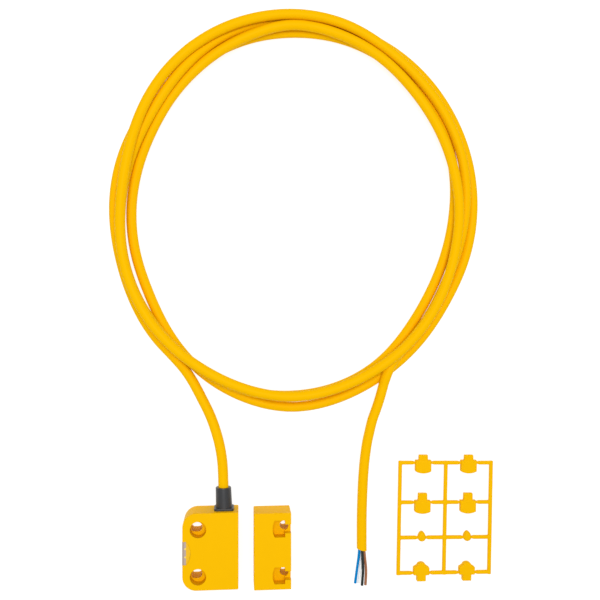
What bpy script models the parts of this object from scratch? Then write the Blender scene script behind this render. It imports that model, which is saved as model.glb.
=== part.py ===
"""Magnetic safety switch: a sensor with its cable, the actuator and the covers for the screw holes.

Every size is in millimetres times MM, so the object is built in metres. The frame starts at the
middle of the sensor's back face. +Z leaves the front face, +X points from the sensor to the
actuator and +Y points along the sensor towards the cable.
"""
import math

import bmesh
import bpy

MM = 0.001

# Gaps between pieces that rest against each other
SEAT_GAP = 0.3 * MM
LENS_GAP = 0.15 * MM
CUT_OVER = 1.0 * MM
WELD = 0.002 * MM
TURN_STEPS = 24
DISC_STEPS = 48
ROUTE_STEPS = 20
SHARP_ANGLE = math.radians(40)
SMALL_EDGE = 0.2 * MM

# Housings that the sensor and the actuator share
CASE_LENGTH = 36.0 * MM
CASE_HEIGHT = 13.0 * MM
CASE_EDGE = 0.3 * MM
SCREW_PITCH = 22.0 * MM
POCKET_FLOOR = 8.0 * MM
FRONT_WALL = 1.8 * MM
RESIN_DEPTH = 2.4 * MM

# Sensor housing
SENSOR_WIDTH = 26.0 * MM
SENSOR_CORNER = 6.5 * MM
SENSOR_WALL = 1.8 * MM
SENSOR_POCKET_X = -SENSOR_WIDTH / 2 + 7.25 * MM
SENSOR_SCREW_Y = -0.65 * MM
SENSOR_POCKET_RADIUS = 3.8 * MM
SENSOR_HOLE_X = SENSOR_POCKET_X - 0.8 * MM
SENSOR_HOLE_LENGTH = 5.1 * MM
SENSOR_HOLE_WIDTH = 4.4 * MM
SENSOR_HOLE_CHAMFER = 0.8 * MM
CORNER_STEPS = 14

# Window for the status lights
LENS_Y = -0.45 * MM
LENS_CHORD = 10.7 * MM
LENS_DEPTH = 3.7 * MM
LENS_STRAIGHT = 1.7 * MM
LENS_PLATE = 1.5 * MM
LENS_LEG_LENGTH = 8.6 * MM
LENS_LEG_THICKNESS = 1.4 * MM
LENS_LEG_BOTTOM = 6.7 * MM
LENS_STEPS = 16

# Strain relief and cable
RELIEF_X = SENSOR_WIDTH / 2 - 6.8 * MM
RELIEF_Z = CASE_HEIGHT / 2
RELIEF_NECK_RADIUS = 3.0 * MM
RELIEF_RING_RADIUS = 3.6 * MM
RELIEF_RING_LENGTH = 1.9 * MM
RELIEF_FLANGE_WIDTH = 9.3 * MM
RELIEF_FLANGE_HEIGHT = 7.8 * MM
RELIEF_FLANGE_LENGTH = 1.1 * MM
RELIEF_FLANGE_EDGE = 0.25 * MM
RELIEF_FLANGE_OVERLAP = 0.4 * MM
RELIEF_TIP_EDGE = 0.3 * MM
RELIEF_FOOT_RADIUS = 3.85 * MM
RELIEF_TIP_RADIUS = 3.65 * MM
RELIEF_TIP_Y = CASE_LENGTH / 2 + 10.5 * MM
RELIEF_STEPS = 36
CABLE_DIAMETER = 4.8 * MM
CABLE_STEP = 8.0 * MM
CABLE_SIDES = 3
CORE_DIAMETER = 1.3 * MM
CORE_STEP = 2.0 * MM
CORE_SIDES = 2

# Lead from the strain relief to the coil, and tail from the coil to the stripped end: millimetres from
# where the strain relief leaves the housing, and height above the back face
LEAD_ROUTE = ((0.0, -4.8, 6.5), (-0.05, 3.0, 6.5), (-0.2, 10.5, 6.45), (-0.35, 15.0, 6.1), (-0.7, 21.0, 5.2),
              (-1.6, 27.5, 4.0), (-2.8, 33.0, 3.2), (-4.6, 39.0, 2.6), (-7.1, 45.5, 2.4), (-10.0, 51.4, 2.4),
              (-13.5, 58.1, 2.4))
TAIL_ROUTE = ((76.7, 56.9, 3.3), (74.9, 50.4, 2.7), (73.1, 45.0, 2.4), (71.6, 40.6, 2.4), (70.5, 35.8, 2.4),
              (69.4, 30.8, 2.4), (68.7, 26.0, 2.4), (68.1, 21.0, 2.4), (67.7, 16.0, 2.4), (67.4, 11.0, 2.4),
              (67.2, 6.0, 2.4), (67.0, -1.0, 2.4), (66.9, -8.0, 2.4), (66.9, -13.0, 2.4), (66.98, -22.6, 2.4))
CORE_ROUTES = {
    "blue": ((65.83, -22.9, 2.4), (65.55, -26.5, 2.0), (65.2, -29.8, 1.5), (64.65, -34.7, 0.9),
             (64.0, -39.75, 0.75)),
    "white": ((66.98, -22.9, 1.25), (66.9, -28.3, 0.95), (66.35, -34.4, 0.72), (65.7, -39.8, 0.7)),
    "black": ((66.98, -22.9, 3.55), (67.37, -27.8, 2.8), (67.75, -33.1, 1.75), (67.6, -37.9, 0.95),
              (67.4, -41.0, 0.7)),
    "brown": ((68.13, -22.9, 2.4), (68.75, -28.1, 1.9), (69.3, -33.1, 1.2), (69.25, -38.0, 0.8),
              (69.1, -40.8, 0.7)),
}

# Coil: distance of its outer and inner edge from the middle, every 30 degrees from +X
COIL_X = RELIEF_X + 33.3 * MM
COIL_Y = CASE_LENGTH / 2 + 143.0 * MM
COIL_OUTER = (92.0, 93.6, 95.4, 97.8, 94.3, 88.5, 87.9, 90.1, 94.4, 97.3, 93.6, 90.3)
COIL_INNER = (76.6, 80.4, 83.3, 83.9, 79.7, 74.7, 73.9, 78.1, 84.9, 87.2, 81.6, 75.7)
COIL_STEPS = 96
COIL_HEIGHT = 2 * CABLE_DIAMETER
COIL_EDGE_SIDES = 2

# Electronics in the sensor
BOARD_THICKNESS = 1.0 * MM
BOARD_END_Y = SCREW_PITCH / 2 + 1.4 * MM
REED_RADIUS = 1.1 * MM
REED_GLASS = 11.0 * MM
REED_WIRE_RADIUS = 0.3 * MM
REED_WIRE = 2.0 * MM
REED_Y = -4.5 * MM
REED_PLACES = (SENSOR_WIDTH / 2 - 4.4 * MM, SENSOR_WIDTH / 2 - 8.2 * MM)
LED_SIZE = (2.0 * MM, 2.2 * MM, 4.0 * MM)
LED_X = -SENSOR_WIDTH / 2 + 3.4 * MM
LED_OFFSET = 2.0 * MM
RESISTOR_SIZE = (3.2 * MM, 1.6 * MM, 0.7 * MM)
RESISTOR_PLACES = ((LED_X + 4.6 * MM, 3.5 * MM), (LED_X + 4.6 * MM, -3.0 * MM))
INNER_LEADS = {
    "blue": ((-1.15, -5.1, 6.5), (-1.35, -6.6, 6.2), (-1.5, -7.8, 5.3), (-1.55, -8.2, 4.0)),
    "white": ((0.0, -5.1, 5.35), (0.0, -6.4, 5.2), (0.0, -7.3, 4.7), (0.0, -7.6, 4.0)),
    "black": ((0.0, -5.1, 7.65), (0.0, -7.4, 7.5), (0.2, -9.8, 6.2), (0.2, -10.6, 4.0)),
    "brown": ((1.15, -5.1, 6.5), (1.5, -6.6, 6.2), (1.8, -7.8, 5.3), (1.9, -8.2, 4.0)),
}

# Actuator housing
PAIR_GAP = 7.3 * MM
ACTUATOR_Y = -0.8 * MM
ACTUATOR_WIDTH = 17.5 * MM
ACTUATOR_X = SENSOR_WIDTH / 2 + PAIR_GAP + ACTUATOR_WIDTH / 2
ACTUATOR_WALL = 1.6 * MM
ACTUATOR_POCKET_RIGHT = ACTUATOR_X + 5.89 * MM
ACTUATOR_POCKET_LENGTH = 7.9 * MM
ACTUATOR_POCKET_ARC = 8.6 * MM
ACTUATOR_CHANNEL = 4.2 * MM
ACTUATOR_CHANNEL_FLOOR = 9.5 * MM
ACTUATOR_SCREW_Y = -0.42 * MM
ACTUATOR_HOLE_X = ACTUATOR_X + 5.6 * MM
ACTUATOR_HOLE_RISE = 0.4 * MM
ACTUATOR_HOLE_RADIUS = 2.0 * MM
POCKET_STEPS = 10
MAGNET_GAP = 0.575 * MM
MAGNET_WIDTH = ACTUATOR_WIDTH / 2 - 2 * ACTUATOR_WALL - 2 * MAGNET_GAP
MAGNET_SIZE = (MAGNET_WIDTH, CASE_LENGTH / 3, 6.0 * MM)
MAGNET_OFFSET = CASE_LENGTH / 4.5

# Frame of screw-hole covers: sizes in the frame's own plane
SPRUE_TURN = math.radians(-1.1)
SPRUE_X = ACTUATOR_X + 85.96 * MM
SPRUE_Y = 9.0 * MM
BAR_WIDTH = 1.85 * MM
BAR_BOTTOM = 0.6 * MM
BAR_EDGE = 0.45 * MM
CROSS_BAR_DROP = 0.12 * MM
CROSS_BAR_EDGE = 0.3 * MM
GATE_WIDTH = 1.0 * MM
GATE_LENGTH = 1.5 * MM
COLUMN_PITCH = 23.0 * MM
COVER_OFFSET = 11.5 * MM
COVER_HEIGHT = 3.0 * MM
COVER_WIDTH = 7.9 * MM
COVER_ARC = 8.6 * MM
COVER_EDGE = 0.35 * MM
STEM_TOP = 2.6 * MM
ROW_PLACES = (27.8 * MM, 8.2 * MM, -9.2 * MM, -26.65 * MM)
COVER_REACH = (3.95 * MM, 3.95 * MM, 1.7 * MM, 3.95 * MM)
TALL_COVERS = ((0, 4.7, 3.9, 1.3, -4.2), (1, 4.7, 4.6, 1.0, -4.5))
PIN_WIDTH = 3.9 * MM
PIN_LENGTH = 5.0 * MM
PIN_SHIFT = 0.6 * MM
PIN_TAPER = 0.2
PIN_SIDES = 20
COVER_STEPS = 8
KNOB_WIDTH = 4.2 * MM
KNOB_TOP = 5.3 * MM
SHOULDER_TOP = 3.9 * MM
SHOULDER_SIDE = 2.8 * MM
ROUND_COVER_BOTTOM = -0.9 * MM
ROUND_STEM_WIDTH = 4.4 * MM
ROUND_STEM_BOTTOM = -3.9 * MM

# Colours, roughness and metal of each material
FINISHES = {
    "yellow_case": ((0.99, 0.52, 0.0), 0.45, 0.0),
    "yellow_cable": ((0.97, 0.44, 0.0), 0.5, 0.0),
    "yellow_cover": ((0.99, 0.5, 0.0), 0.45, 0.0),
    "black_relief": ((0.04, 0.042, 0.045), 0.5, 0.0),
    "clear_lens": ((0.75, 0.7, 0.6), 0.15, 0.0),
    "dark_resin": ((0.02, 0.02, 0.022), 0.4, 0.0),
    "green_board": ((0.02, 0.14, 0.05), 0.4, 0.0),
    "reed_glass": ((0.55, 0.65, 0.6), 0.1, 0.0),
    "led_body": ((0.9, 0.88, 0.75), 0.3, 0.0),
    "resistor_body": ((0.03, 0.03, 0.035), 0.4, 0.0),
    "magnet_ferrite": ((0.06, 0.06, 0.065), 0.6, 0.2),
    "core_blue": ((0.0, 0.19, 0.62), 0.4, 0.0),
    "core_white": ((0.85, 0.85, 0.83), 0.4, 0.0),
    "core_black": ((0.015, 0.015, 0.017), 0.4, 0.0),
    "core_brown": ((0.3, 0.09, 0.03), 0.4, 0.0),
}


def empty_file():
    """Start from a file with nothing in it."""
    for item in list(bpy.data.objects):
        bpy.data.objects.remove(item, do_unlink=True)
    for group in list(bpy.data.collections):
        bpy.data.collections.remove(group)


def collection(name):
    """Give the collection of this name, made if it is missing."""
    found = bpy.data.collections.get(name)
    if found is None:
        found = bpy.data.collections.new(name)
        bpy.context.scene.collection.children.link(found)
    return found


def finish(name):
    """Give the material of this name, made from the finishes table."""
    found = bpy.data.materials.get(name)
    if found is None:
        colour, roughness, metallic = FINISHES[name]
        found = bpy.data.materials.new(name)
        found.use_nodes = True
        shader = found.node_tree.nodes["Principled BSDF"]
        shader.inputs["Base Color"].default_value = (*colour, 1.0)
        shader.inputs["Roughness"].default_value = roughness
        shader.inputs["Metallic"].default_value = metallic
        found.diffuse_color = (*colour, 1.0)
    return found


def place(name, mesh, material=None):
    """Put a mesh in the scene as a part, or as a cutter when it has no material."""
    item = bpy.data.objects.new(name, mesh)
    if material:
        mesh.materials.append(finish(material))
        collection("magnetic_safety_switch").objects.link(item)
    else:
        item.hide_render = True
        item.display_type = "WIRE"
        collection("cutters").objects.link(item)
    return item


def bevel(item, width, segments=2):
    """Round the sharp edges of an object."""
    step = item.modifiers.new("edges", "BEVEL")
    step.width = width
    step.segments = segments
    step.limit_method = "ANGLE"
    step.angle_limit = SHARP_ANGLE
    step.use_clamp_overlap = True


def combine(item, other, operation):
    """Cut another object out of one, or join it on."""
    step = item.modifiers.new(other.name, "BOOLEAN")
    step.object = other
    step.operation = operation
    step.solver = "EXACT"


def cut(item, *others):
    """Cut each of the other objects out of one."""
    for other in others:
        combine(item, other, "DIFFERENCE")


def join(item, *others):
    """Join each of the other objects onto one."""
    for other in others:
        combine(item, other, "UNION")


def plate(name, outline, low, high, material=None):
    """Raise a flat outline, given against the clock, from one height to another."""
    mesh = bpy.data.meshes.new(name)
    mesh.from_pydata([(x, y, low) for x, y in outline], [], [tuple(range(len(outline)))])
    mesh.update()
    item = place(name, mesh, material)
    step = item.modifiers.new("height", "SOLIDIFY")
    step.thickness = high - low
    step.offset = 1.0
    return item


def box(name, low, high, material=None):
    """Make a block between two opposite corners."""
    outline = ((low[0], low[1]), (high[0], low[1]), (high[0], high[1]), (low[0], high[1]))
    return plate(name, outline, low[2], high[2], material)


def block_at(name, centre, size, low, material):
    """Make a block on a height, around a place in the plane."""
    half_x, half_y = size[0] / 2, size[1] / 2
    return box(name, (centre[0] - half_x, centre[1] - half_y, low),
               (centre[0] + half_x, centre[1] + half_y, low + size[2]), material)


def disc(centre, radius, steps=DISC_STEPS):
    """Give the outline of a circle."""
    return arc(centre, radius, 0.0, 2 * math.pi * (1 - 1 / steps), steps - 1)


def arc(centre, radius, start, end, steps):
    """Give the points of an arc from one angle to another."""
    turns = [start + (end - start) * i / steps for i in range(steps + 1)]
    return [(centre[0] + radius * math.cos(a), centre[1] + radius * math.sin(a)) for a in turns]


def closed_mesh(name, source, material=None):
    """Put what an object evaluates to in the scene as one closed mesh, and remove the object."""
    bpy.context.view_layer.update()
    seen = source.evaluated_get(bpy.context.evaluated_depsgraph_get())
    mesh = bpy.data.meshes.new_from_object(seen)
    mesh.transform(source.matrix_world)
    bpy.data.objects.remove(source, do_unlink=True)
    solid = bmesh.new()
    solid.from_mesh(mesh)
    bmesh.ops.remove_doubles(solid, verts=solid.verts, dist=WELD)
    bmesh.ops.recalc_face_normals(solid, faces=solid.faces)
    solid.to_mesh(mesh)
    solid.free()
    mesh.name = name
    mesh.materials.clear()
    return place(name, mesh, material)


def loose(name, data):
    """Put data in the scene as an object that only shapes another one."""
    item = bpy.data.objects.new(name + "_shape", data)
    bpy.context.scene.collection.objects.link(item)
    return item


def turned(name, profile, centre, material=None, steps=TURN_STEPS):
    """Turn a profile of (radius, place along Y) about the line along Y through a point."""
    mesh = bpy.data.meshes.new(name + "_profile")
    mesh.from_pydata([(radius, along, 0.0) for radius, along in profile],
                     [(i, i + 1) for i in range(len(profile) - 1)], [])
    item = loose(name, mesh)
    item.location = centre
    step = item.modifiers.new("turn", "SCREW")
    step.axis = "Y"
    step.steps = steps
    step.render_steps = steps
    step.use_merge_vertices = True
    step.merge_threshold = WELD
    return closed_mesh(name, item, material)


def smooth_route(points, step):
    """Give places at even steps along one smooth curve through the chosen points."""
    ends = [tuple(2 * a - b for a, b in zip(points[0], points[1]))]
    ends += list(points)
    ends += [tuple(2 * a - b for a, b in zip(points[-1], points[-2]))]
    dense = []
    for p0, p1, p2, p3 in zip(ends, ends[1:], ends[2:], ends[3:]):
        for i in range(ROUTE_STEPS):
            t = i / ROUTE_STEPS
            dense.append(tuple(0.5 * (2 * b + (c - a) * t + (2 * a - 5 * b + 4 * c - d) * t ** 2
                                      + (3 * b - a - 3 * c + d) * t ** 3)
                               for a, b, c, d in zip(p0, p1, p2, p3)))
    dense.append(tuple(points[-1]))
    along = [0.0]
    for a, b in zip(dense, dense[1:]):
        along.append(along[-1] + math.dist(a, b))
    count = max(2, round(along[-1] / step))
    route = []
    index = 0
    for i in range(count + 1):
        target = along[-1] * i / count
        while index < len(along) - 2 and along[index + 1] < target:
            index += 1
        share = (target - along[index]) / (along[index + 1] - along[index])
        route.append(tuple(a + (b - a) * min(1.0, share) for a, b in zip(dense[index], dense[index + 1])))
    return route


def tube(name, points, diameter, step, sides, material):
    """Run a round tube with closed ends through the chosen points, given in millimetres."""
    places = [(RELIEF_X + x * MM, CASE_LENGTH / 2 + y * MM, z * MM) for x, y, z in points]
    route = smooth_route(places, step)
    curve = bpy.data.curves.new(name, "CURVE")
    curve.dimensions = "3D"
    curve.bevel_depth = diameter / 2
    curve.bevel_resolution = sides
    curve.use_fill_caps = True
    spline = curve.splines.new("POLY")
    spline.points.add(len(route) - 1)
    for point, place_at in zip(spline.points, route):
        point.co = (*place_at, 1.0)
    return closed_mesh(name, loose(name, curve), material)


def filled_curve(name, outlines, height, edge, sides, material):
    """Raise flat outlines from the floor, the inner one left open, and round the edges between them."""
    curve = bpy.data.curves.new(name, "CURVE")
    curve.dimensions = "2D"
    curve.fill_mode = "BOTH"
    curve.extrude = height / 2 - edge
    curve.bevel_depth = edge
    curve.bevel_resolution = sides
    curve.offset = -edge
    for outline in outlines:
        spline = curve.splines.new("POLY")
        spline.points.add(len(outline) - 1)
        spline.use_cyclic_u = True
        for point, (x, y) in zip(spline.points, outline):
            point.co = (x, y, 0.0, 1.0)
    item = closed_mesh(name, loose(name, curve), material)
    item.location.z = height / 2


def sensor_outline(inset):
    """Give the sensor's outline, moved in by a wall: round at the left corners."""
    right = SENSOR_WIDTH / 2 - inset
    top = CASE_LENGTH / 2 - inset
    radius = SENSOR_CORNER - inset
    middle_x = -SENSOR_WIDTH / 2 + SENSOR_CORNER
    middle_y = CASE_LENGTH / 2 - SENSOR_CORNER
    upper = arc((middle_x, middle_y), radius, math.pi / 2, math.pi, CORNER_STEPS)
    lower = arc((middle_x, -middle_y), radius, math.pi, 1.5 * math.pi, CORNER_STEPS)
    return [(right, -top), (right, top)] + upper + lower


def lens_outline(grow, reach=0.0):
    """Give the window's outline: straight sides from the sensor's left side, and an arc inside them."""
    half, rise = LENS_CHORD / 2, LENS_DEPTH - LENS_STRAIGHT
    radius = (half ** 2 + rise ** 2) / (2 * rise)
    left = -SENSOR_WIDTH / 2
    middle = left + LENS_DEPTH - radius
    turn = math.asin(half / radius)
    points = arc((middle, LENS_Y), radius + grow, -turn, turn, LENS_STEPS)
    return [(left - reach, points[0][1])] + points + [(left - reach, points[-1][1])]


def sensor_hole(y):
    """Give the outline of the slot under a screw pocket: flat at the left and round at the right."""
    left = SENSOR_HOLE_X - SENSOR_HOLE_LENGTH / 2
    half = SENSOR_HOLE_WIDTH / 2
    centre = SENSOR_HOLE_X + SENSOR_HOLE_LENGTH / 2 - half
    return ([(left, y + half - SENSOR_HOLE_CHAMFER), (left, y - half + SENSOR_HOLE_CHAMFER),
             (left + SENSOR_HOLE_CHAMFER, y - half)]
            + arc((centre, y), half, -math.pi / 2, math.pi / 2, CORNER_STEPS)
            + [(left + SENSOR_HOLE_CHAMFER, y + half)])


def relief_cutter(name, radius, start, end):
    """Make a round cutter on the strain relief's axis between two places along Y."""
    profile = ((0.0, start), (radius, start), (radius, end), (0.0, end))
    return turned(name, profile, (RELIEF_X, 0.0, RELIEF_Z), steps=RELIEF_STEPS)


def build_sensor_housing():
    """Build the moulded housing with its screw pockets, window and bore for the strain relief."""
    housing = plate("sensor_housing", sensor_outline(0.0), 0.0, CASE_HEIGHT, "yellow_case")
    bevel(housing, CASE_EDGE)
    top = CASE_HEIGHT - FRONT_WALL
    cavity = plate("sensor_cavity", sensor_outline(SENSOR_WALL), -CUT_OVER, top)
    boss_radius = SENSOR_POCKET_RADIUS + SENSOR_WALL
    for sign in (1, -1):
        y = SENSOR_SCREW_Y + sign * SCREW_PITCH / 2
        boss = plate("sensor_boss_%d" % sign, disc((SENSOR_POCKET_X, y), boss_radius),
                     -2 * CUT_OVER, CASE_HEIGHT)
        cut(cavity, boss)
    cut(housing, cavity)
    for sign in (1, -1):
        y = SENSOR_SCREW_Y + sign * SCREW_PITCH / 2
        pocket = plate("sensor_pocket_%d" % sign, disc((SENSOR_POCKET_X, y), SENSOR_POCKET_RADIUS),
                       POCKET_FLOOR, CASE_HEIGHT + CUT_OVER)
        hole = plate("sensor_hole_%d" % sign, sensor_hole(y), -CUT_OVER, POCKET_FLOOR + CUT_OVER)
        cut(housing, pocket, hole)
    floor = CASE_HEIGHT - LENS_PLATE - SEAT_GAP
    recess = plate("lens_recess", lens_outline(LENS_GAP, CUT_OVER), floor, CASE_HEIGHT + CUT_OVER)
    half = LENS_LEG_LENGTH / 2 + LENS_GAP
    left = -SENSOR_WIDTH / 2
    slot = box("lens_slot", (left - CUT_OVER, LENS_Y - half, LENS_LEG_BOTTOM - SEAT_GAP),
               (left + SENSOR_WALL + SEAT_GAP, LENS_Y + half, floor + CUT_OVER / 2))
    inner_y = CASE_LENGTH / 2 - SENSOR_WALL - CUT_OVER
    bore = relief_cutter("relief_bore", RELIEF_NECK_RADIUS + SEAT_GAP, inner_y, CASE_LENGTH / 2 + CUT_OVER)
    cut(housing, recess, slot, bore)


def build_sensor_back():
    """Build the resin that closes the sensor's back."""
    fill = plate("sensor_back_fill", sensor_outline(SENSOR_WALL + SEAT_GAP), 0.0, RESIN_DEPTH, "dark_resin")
    clear_bosses(fill, SENSOR_POCKET_RADIUS + SENSOR_WALL + SEAT_GAP)


def clear_bosses(item, radius):
    """Keep an inner plate clear of both screw bosses."""
    for sign in (1, -1):
        y = SENSOR_SCREW_Y + sign * SCREW_PITCH / 2
        around = plate("%s_clear_%d" % (item.name, sign), disc((SENSOR_POCKET_X, y), radius),
                       -CUT_OVER, CASE_HEIGHT)
        cut(item, around)


def build_lens():
    """Build the clear window: a thin front plate with a leg down the sensor's side."""
    lens = plate("led_lens", lens_outline(0.0), CASE_HEIGHT - LENS_PLATE, CASE_HEIGHT, "clear_lens")
    left = -SENSOR_WIDTH / 2
    half = LENS_LEG_LENGTH / 2
    leg = box("lens_leg", (left, LENS_Y - half, LENS_LEG_BOTTOM),
              (left + LENS_LEG_THICKNESS, LENS_Y + half, CASE_HEIGHT - LENS_PLATE / 2))
    join(lens, leg)


def build_relief():
    """Build the strain relief: a tapered sleeve with a flange outside and a ring inside the wall."""
    ring_end = CASE_LENGTH / 2 - SENSOR_WALL - SEAT_GAP
    ring_start = ring_end - RELIEF_RING_LENGTH
    outside = CASE_LENGTH / 2 + SEAT_GAP
    relief = turned("strain_relief",
                    ((0.0, ring_start), (RELIEF_RING_RADIUS, ring_start), (RELIEF_RING_RADIUS, ring_end),
                     (RELIEF_NECK_RADIUS, ring_end), (RELIEF_NECK_RADIUS, outside + RELIEF_FLANGE_OVERLAP),
                     (RELIEF_FOOT_RADIUS, outside + RELIEF_FLANGE_OVERLAP),
                     (RELIEF_TIP_RADIUS, RELIEF_TIP_Y - RELIEF_TIP_EDGE),
                     (RELIEF_TIP_RADIUS - RELIEF_TIP_EDGE, RELIEF_TIP_Y), (0.0, RELIEF_TIP_Y)),
                    (RELIEF_X, 0.0, RELIEF_Z), "black_relief", steps=RELIEF_STEPS)
    half_x, half_z = RELIEF_FLANGE_WIDTH / 2, RELIEF_FLANGE_HEIGHT / 2
    flange = box("relief_flange", (RELIEF_X - half_x, outside, RELIEF_Z - half_z),
                 (RELIEF_X + half_x, outside + RELIEF_FLANGE_LENGTH, RELIEF_Z + half_z))
    bevel(flange, RELIEF_FLANGE_EDGE)
    join(relief, flange)
    passage = relief_cutter("relief_passage", CABLE_DIAMETER / 2 + SEAT_GAP, ring_start - CUT_OVER,
                            RELIEF_TIP_Y + CUT_OVER)
    cut(relief, passage)


def build_electronics():
    """Build the board in the sensor and what it carries."""
    low = RESIN_DEPTH + SEAT_GAP
    top = low + BOARD_THICKNESS
    board = plate("sensor_board", sensor_outline(SENSOR_WALL + SEAT_GAP), low, top, "green_board")
    clear_bosses(board, SENSOR_POCKET_RADIUS + SENSOR_WALL + SEAT_GAP)
    half = SENSOR_WIDTH / 2
    end = box("board_end", (-half, BOARD_END_Y, 0.0), (half, CASE_LENGTH / 2, CASE_HEIGHT))
    cut(board, end)
    seat = top + SEAT_GAP
    half = REED_GLASS / 2
    end = half + REED_WIRE
    shoulder = half - REED_RADIUS / 2
    profile = ((0.0, -end), (REED_WIRE_RADIUS, -end), (REED_WIRE_RADIUS, -half), (REED_RADIUS, -shoulder),
               (REED_RADIUS, shoulder), (REED_WIRE_RADIUS, half), (REED_WIRE_RADIUS, end), (0.0, end))
    for number, x in enumerate(REED_PLACES, 1):
        turned("reed_switch_%d" % number, profile, (x, REED_Y, seat + REED_RADIUS), "reed_glass")
    for number, sign in enumerate((1, -1), 1):
        centre = (LED_X, LENS_Y + sign * LED_OFFSET)
        light = block_at("status_led_%d" % number, centre, LED_SIZE, seat, "led_body")
        bevel(light, SMALL_EDGE)
    for number, centre in enumerate(RESISTOR_PLACES, 1):
        block_at("resistor_%d" % number, centre, RESISTOR_SIZE, seat, "resistor_body")
    for colour, points in INNER_LEADS.items():
        tube("inner_lead_" + colour, points, CORE_DIAMETER, CORE_STEP / 2, CORE_SIDES, "core_" + colour)


def build_cable():
    """Build the lead, the tail and the four cores at the stripped end."""
    tube("cable_lead", LEAD_ROUTE, CABLE_DIAMETER, CABLE_STEP, CABLE_SIDES, "yellow_cable")
    tube("cable_tail", TAIL_ROUTE, CABLE_DIAMETER, CABLE_STEP, CABLE_SIDES, "yellow_cable")
    for colour, points in CORE_ROUTES.items():
        tube("core_" + colour, points, CORE_DIAMETER, CORE_STEP, CORE_SIDES, "core_" + colour)


def ring_outline(distances):
    """Give a smooth closed outline through distances from the coil's middle at even angles."""
    count = len(distances)
    outline = []
    for step in range(COIL_STEPS):
        angle = 2 * math.pi * step / COIL_STEPS
        distance = sum(distances) / count
        for wave in range(1, count // 2):
            for i, value in enumerate(distances):
                distance += 2 / count * value * math.cos(wave * (angle - 2 * math.pi * i / count))
        outline.append((COIL_X + distance * MM * math.cos(angle), COIL_Y + distance * MM * math.sin(angle)))
    return outline


def build_coil():
    """Build the coiled cable's outer shape as one ring."""
    outlines = (ring_outline(COIL_OUTER), ring_outline(COIL_INNER))
    filled_curve("cable_coil", outlines, COIL_HEIGHT, CABLE_DIAMETER / 2, COIL_EDGE_SIDES, "yellow_cable")


def actuator_pocket(y):
    """Give the outline of a screw pocket in the actuator: its left side bulges out."""
    half = ACTUATOR_POCKET_LENGTH / 2
    turn = math.asin(half / ACTUATOR_POCKET_ARC)
    centre = (ACTUATOR_X + ACTUATOR_POCKET_ARC, y)
    left = arc(centre, ACTUATOR_POCKET_ARC, math.pi - turn, math.pi + turn, POCKET_STEPS)
    return left + [(ACTUATOR_POCKET_RIGHT, y - half), (ACTUATOR_POCKET_RIGHT, y + half)]


def actuator_cavity(inset):
    """Give the outline of the actuator's hollow: it runs around both pockets' walls."""
    left = ACTUATOR_X - ACTUATOR_WIDTH / 2 + ACTUATOR_WALL + inset
    right = ACTUATOR_X + ACTUATOR_WIDTH / 2 - ACTUATOR_WALL - inset
    side = ACTUATOR_X - ACTUATOR_WALL - inset
    end = CASE_LENGTH / 2 - ACTUATOR_WALL - inset
    middle = SCREW_PITCH / 2 - ACTUATOR_POCKET_LENGTH / 2 - ACTUATOR_WALL - inset
    lower, upper = ACTUATOR_SCREW_Y - middle, ACTUATOR_SCREW_Y + middle
    points = ((left, -end), (side, -end), (side, lower), (right, lower),
              (right, upper), (side, upper), (side, end), (left, end))
    return [(x, y + ACTUATOR_Y) for x, y in points]


def build_actuator():
    """Build the actuator: housing, magnets and the resin that closes its back."""
    left = ACTUATOR_X - ACTUATOR_WIDTH / 2
    right = ACTUATOR_X + ACTUATOR_WIDTH / 2
    half = CASE_LENGTH / 2
    housing = box("actuator_housing", (left, ACTUATOR_Y - half, 0.0), (right, ACTUATOR_Y + half, CASE_HEIGHT),
                  "yellow_case")
    bevel(housing, CASE_EDGE)
    cavity = plate("actuator_cavity", actuator_cavity(0.0), -CUT_OVER, CASE_HEIGHT - FRONT_WALL)
    cut(housing, cavity)
    for sign in (1, -1):
        y = ACTUATOR_Y + ACTUATOR_SCREW_Y + sign * SCREW_PITCH / 2
        pocket = plate("actuator_pocket_%d" % sign, actuator_pocket(y), POCKET_FLOOR, CASE_HEIGHT + CUT_OVER)
        channel = box("actuator_channel_%d" % sign,
                      (ACTUATOR_POCKET_RIGHT - CUT_OVER, y - ACTUATOR_CHANNEL / 2, ACTUATOR_CHANNEL_FLOOR),
                      (right + CUT_OVER, y + ACTUATOR_CHANNEL / 2, CASE_HEIGHT + 2 * CUT_OVER))
        hole = plate("actuator_hole_%d" % sign,
                     disc((ACTUATOR_HOLE_X, y + ACTUATOR_HOLE_RISE), ACTUATOR_HOLE_RADIUS),
                     -CUT_OVER, ACTUATOR_CHANNEL_FLOOR + CUT_OVER)
        cut(housing, pocket, channel, hole)
    plate("actuator_back_fill", actuator_cavity(SEAT_GAP), 0.0, RESIN_DEPTH, "dark_resin")
    centre_x = (left + ACTUATOR_WALL + ACTUATOR_X - ACTUATOR_WALL) / 2
    for number, sign in enumerate((1, -1), 1):
        magnet = block_at("actuator_magnet_%d" % number, (centre_x, ACTUATOR_Y + sign * MAGNET_OFFSET),
                          MAGNET_SIZE, RESIN_DEPTH + SEAT_GAP, "magnet_ferrite")
        bevel(magnet, SMALL_EDGE)


def bar_edge(row, side):
    """Give the points along one edge of a cross bar, from left to right: thin beside the covers."""
    y = ROW_PLACES[row]
    wide, thin = side * BAR_WIDTH / 2, side * GATE_WIDTH / 2
    points = []
    for column in (-1, 1):
        x = column * COVER_OFFSET
        reach = COVER_REACH[row]
        points += [(x - reach - GATE_LENGTH, y + wide), (x - reach, y + thin),
                   (x + reach, y + thin), (x + reach + GATE_LENGTH, y + wide)]
    return points


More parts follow.
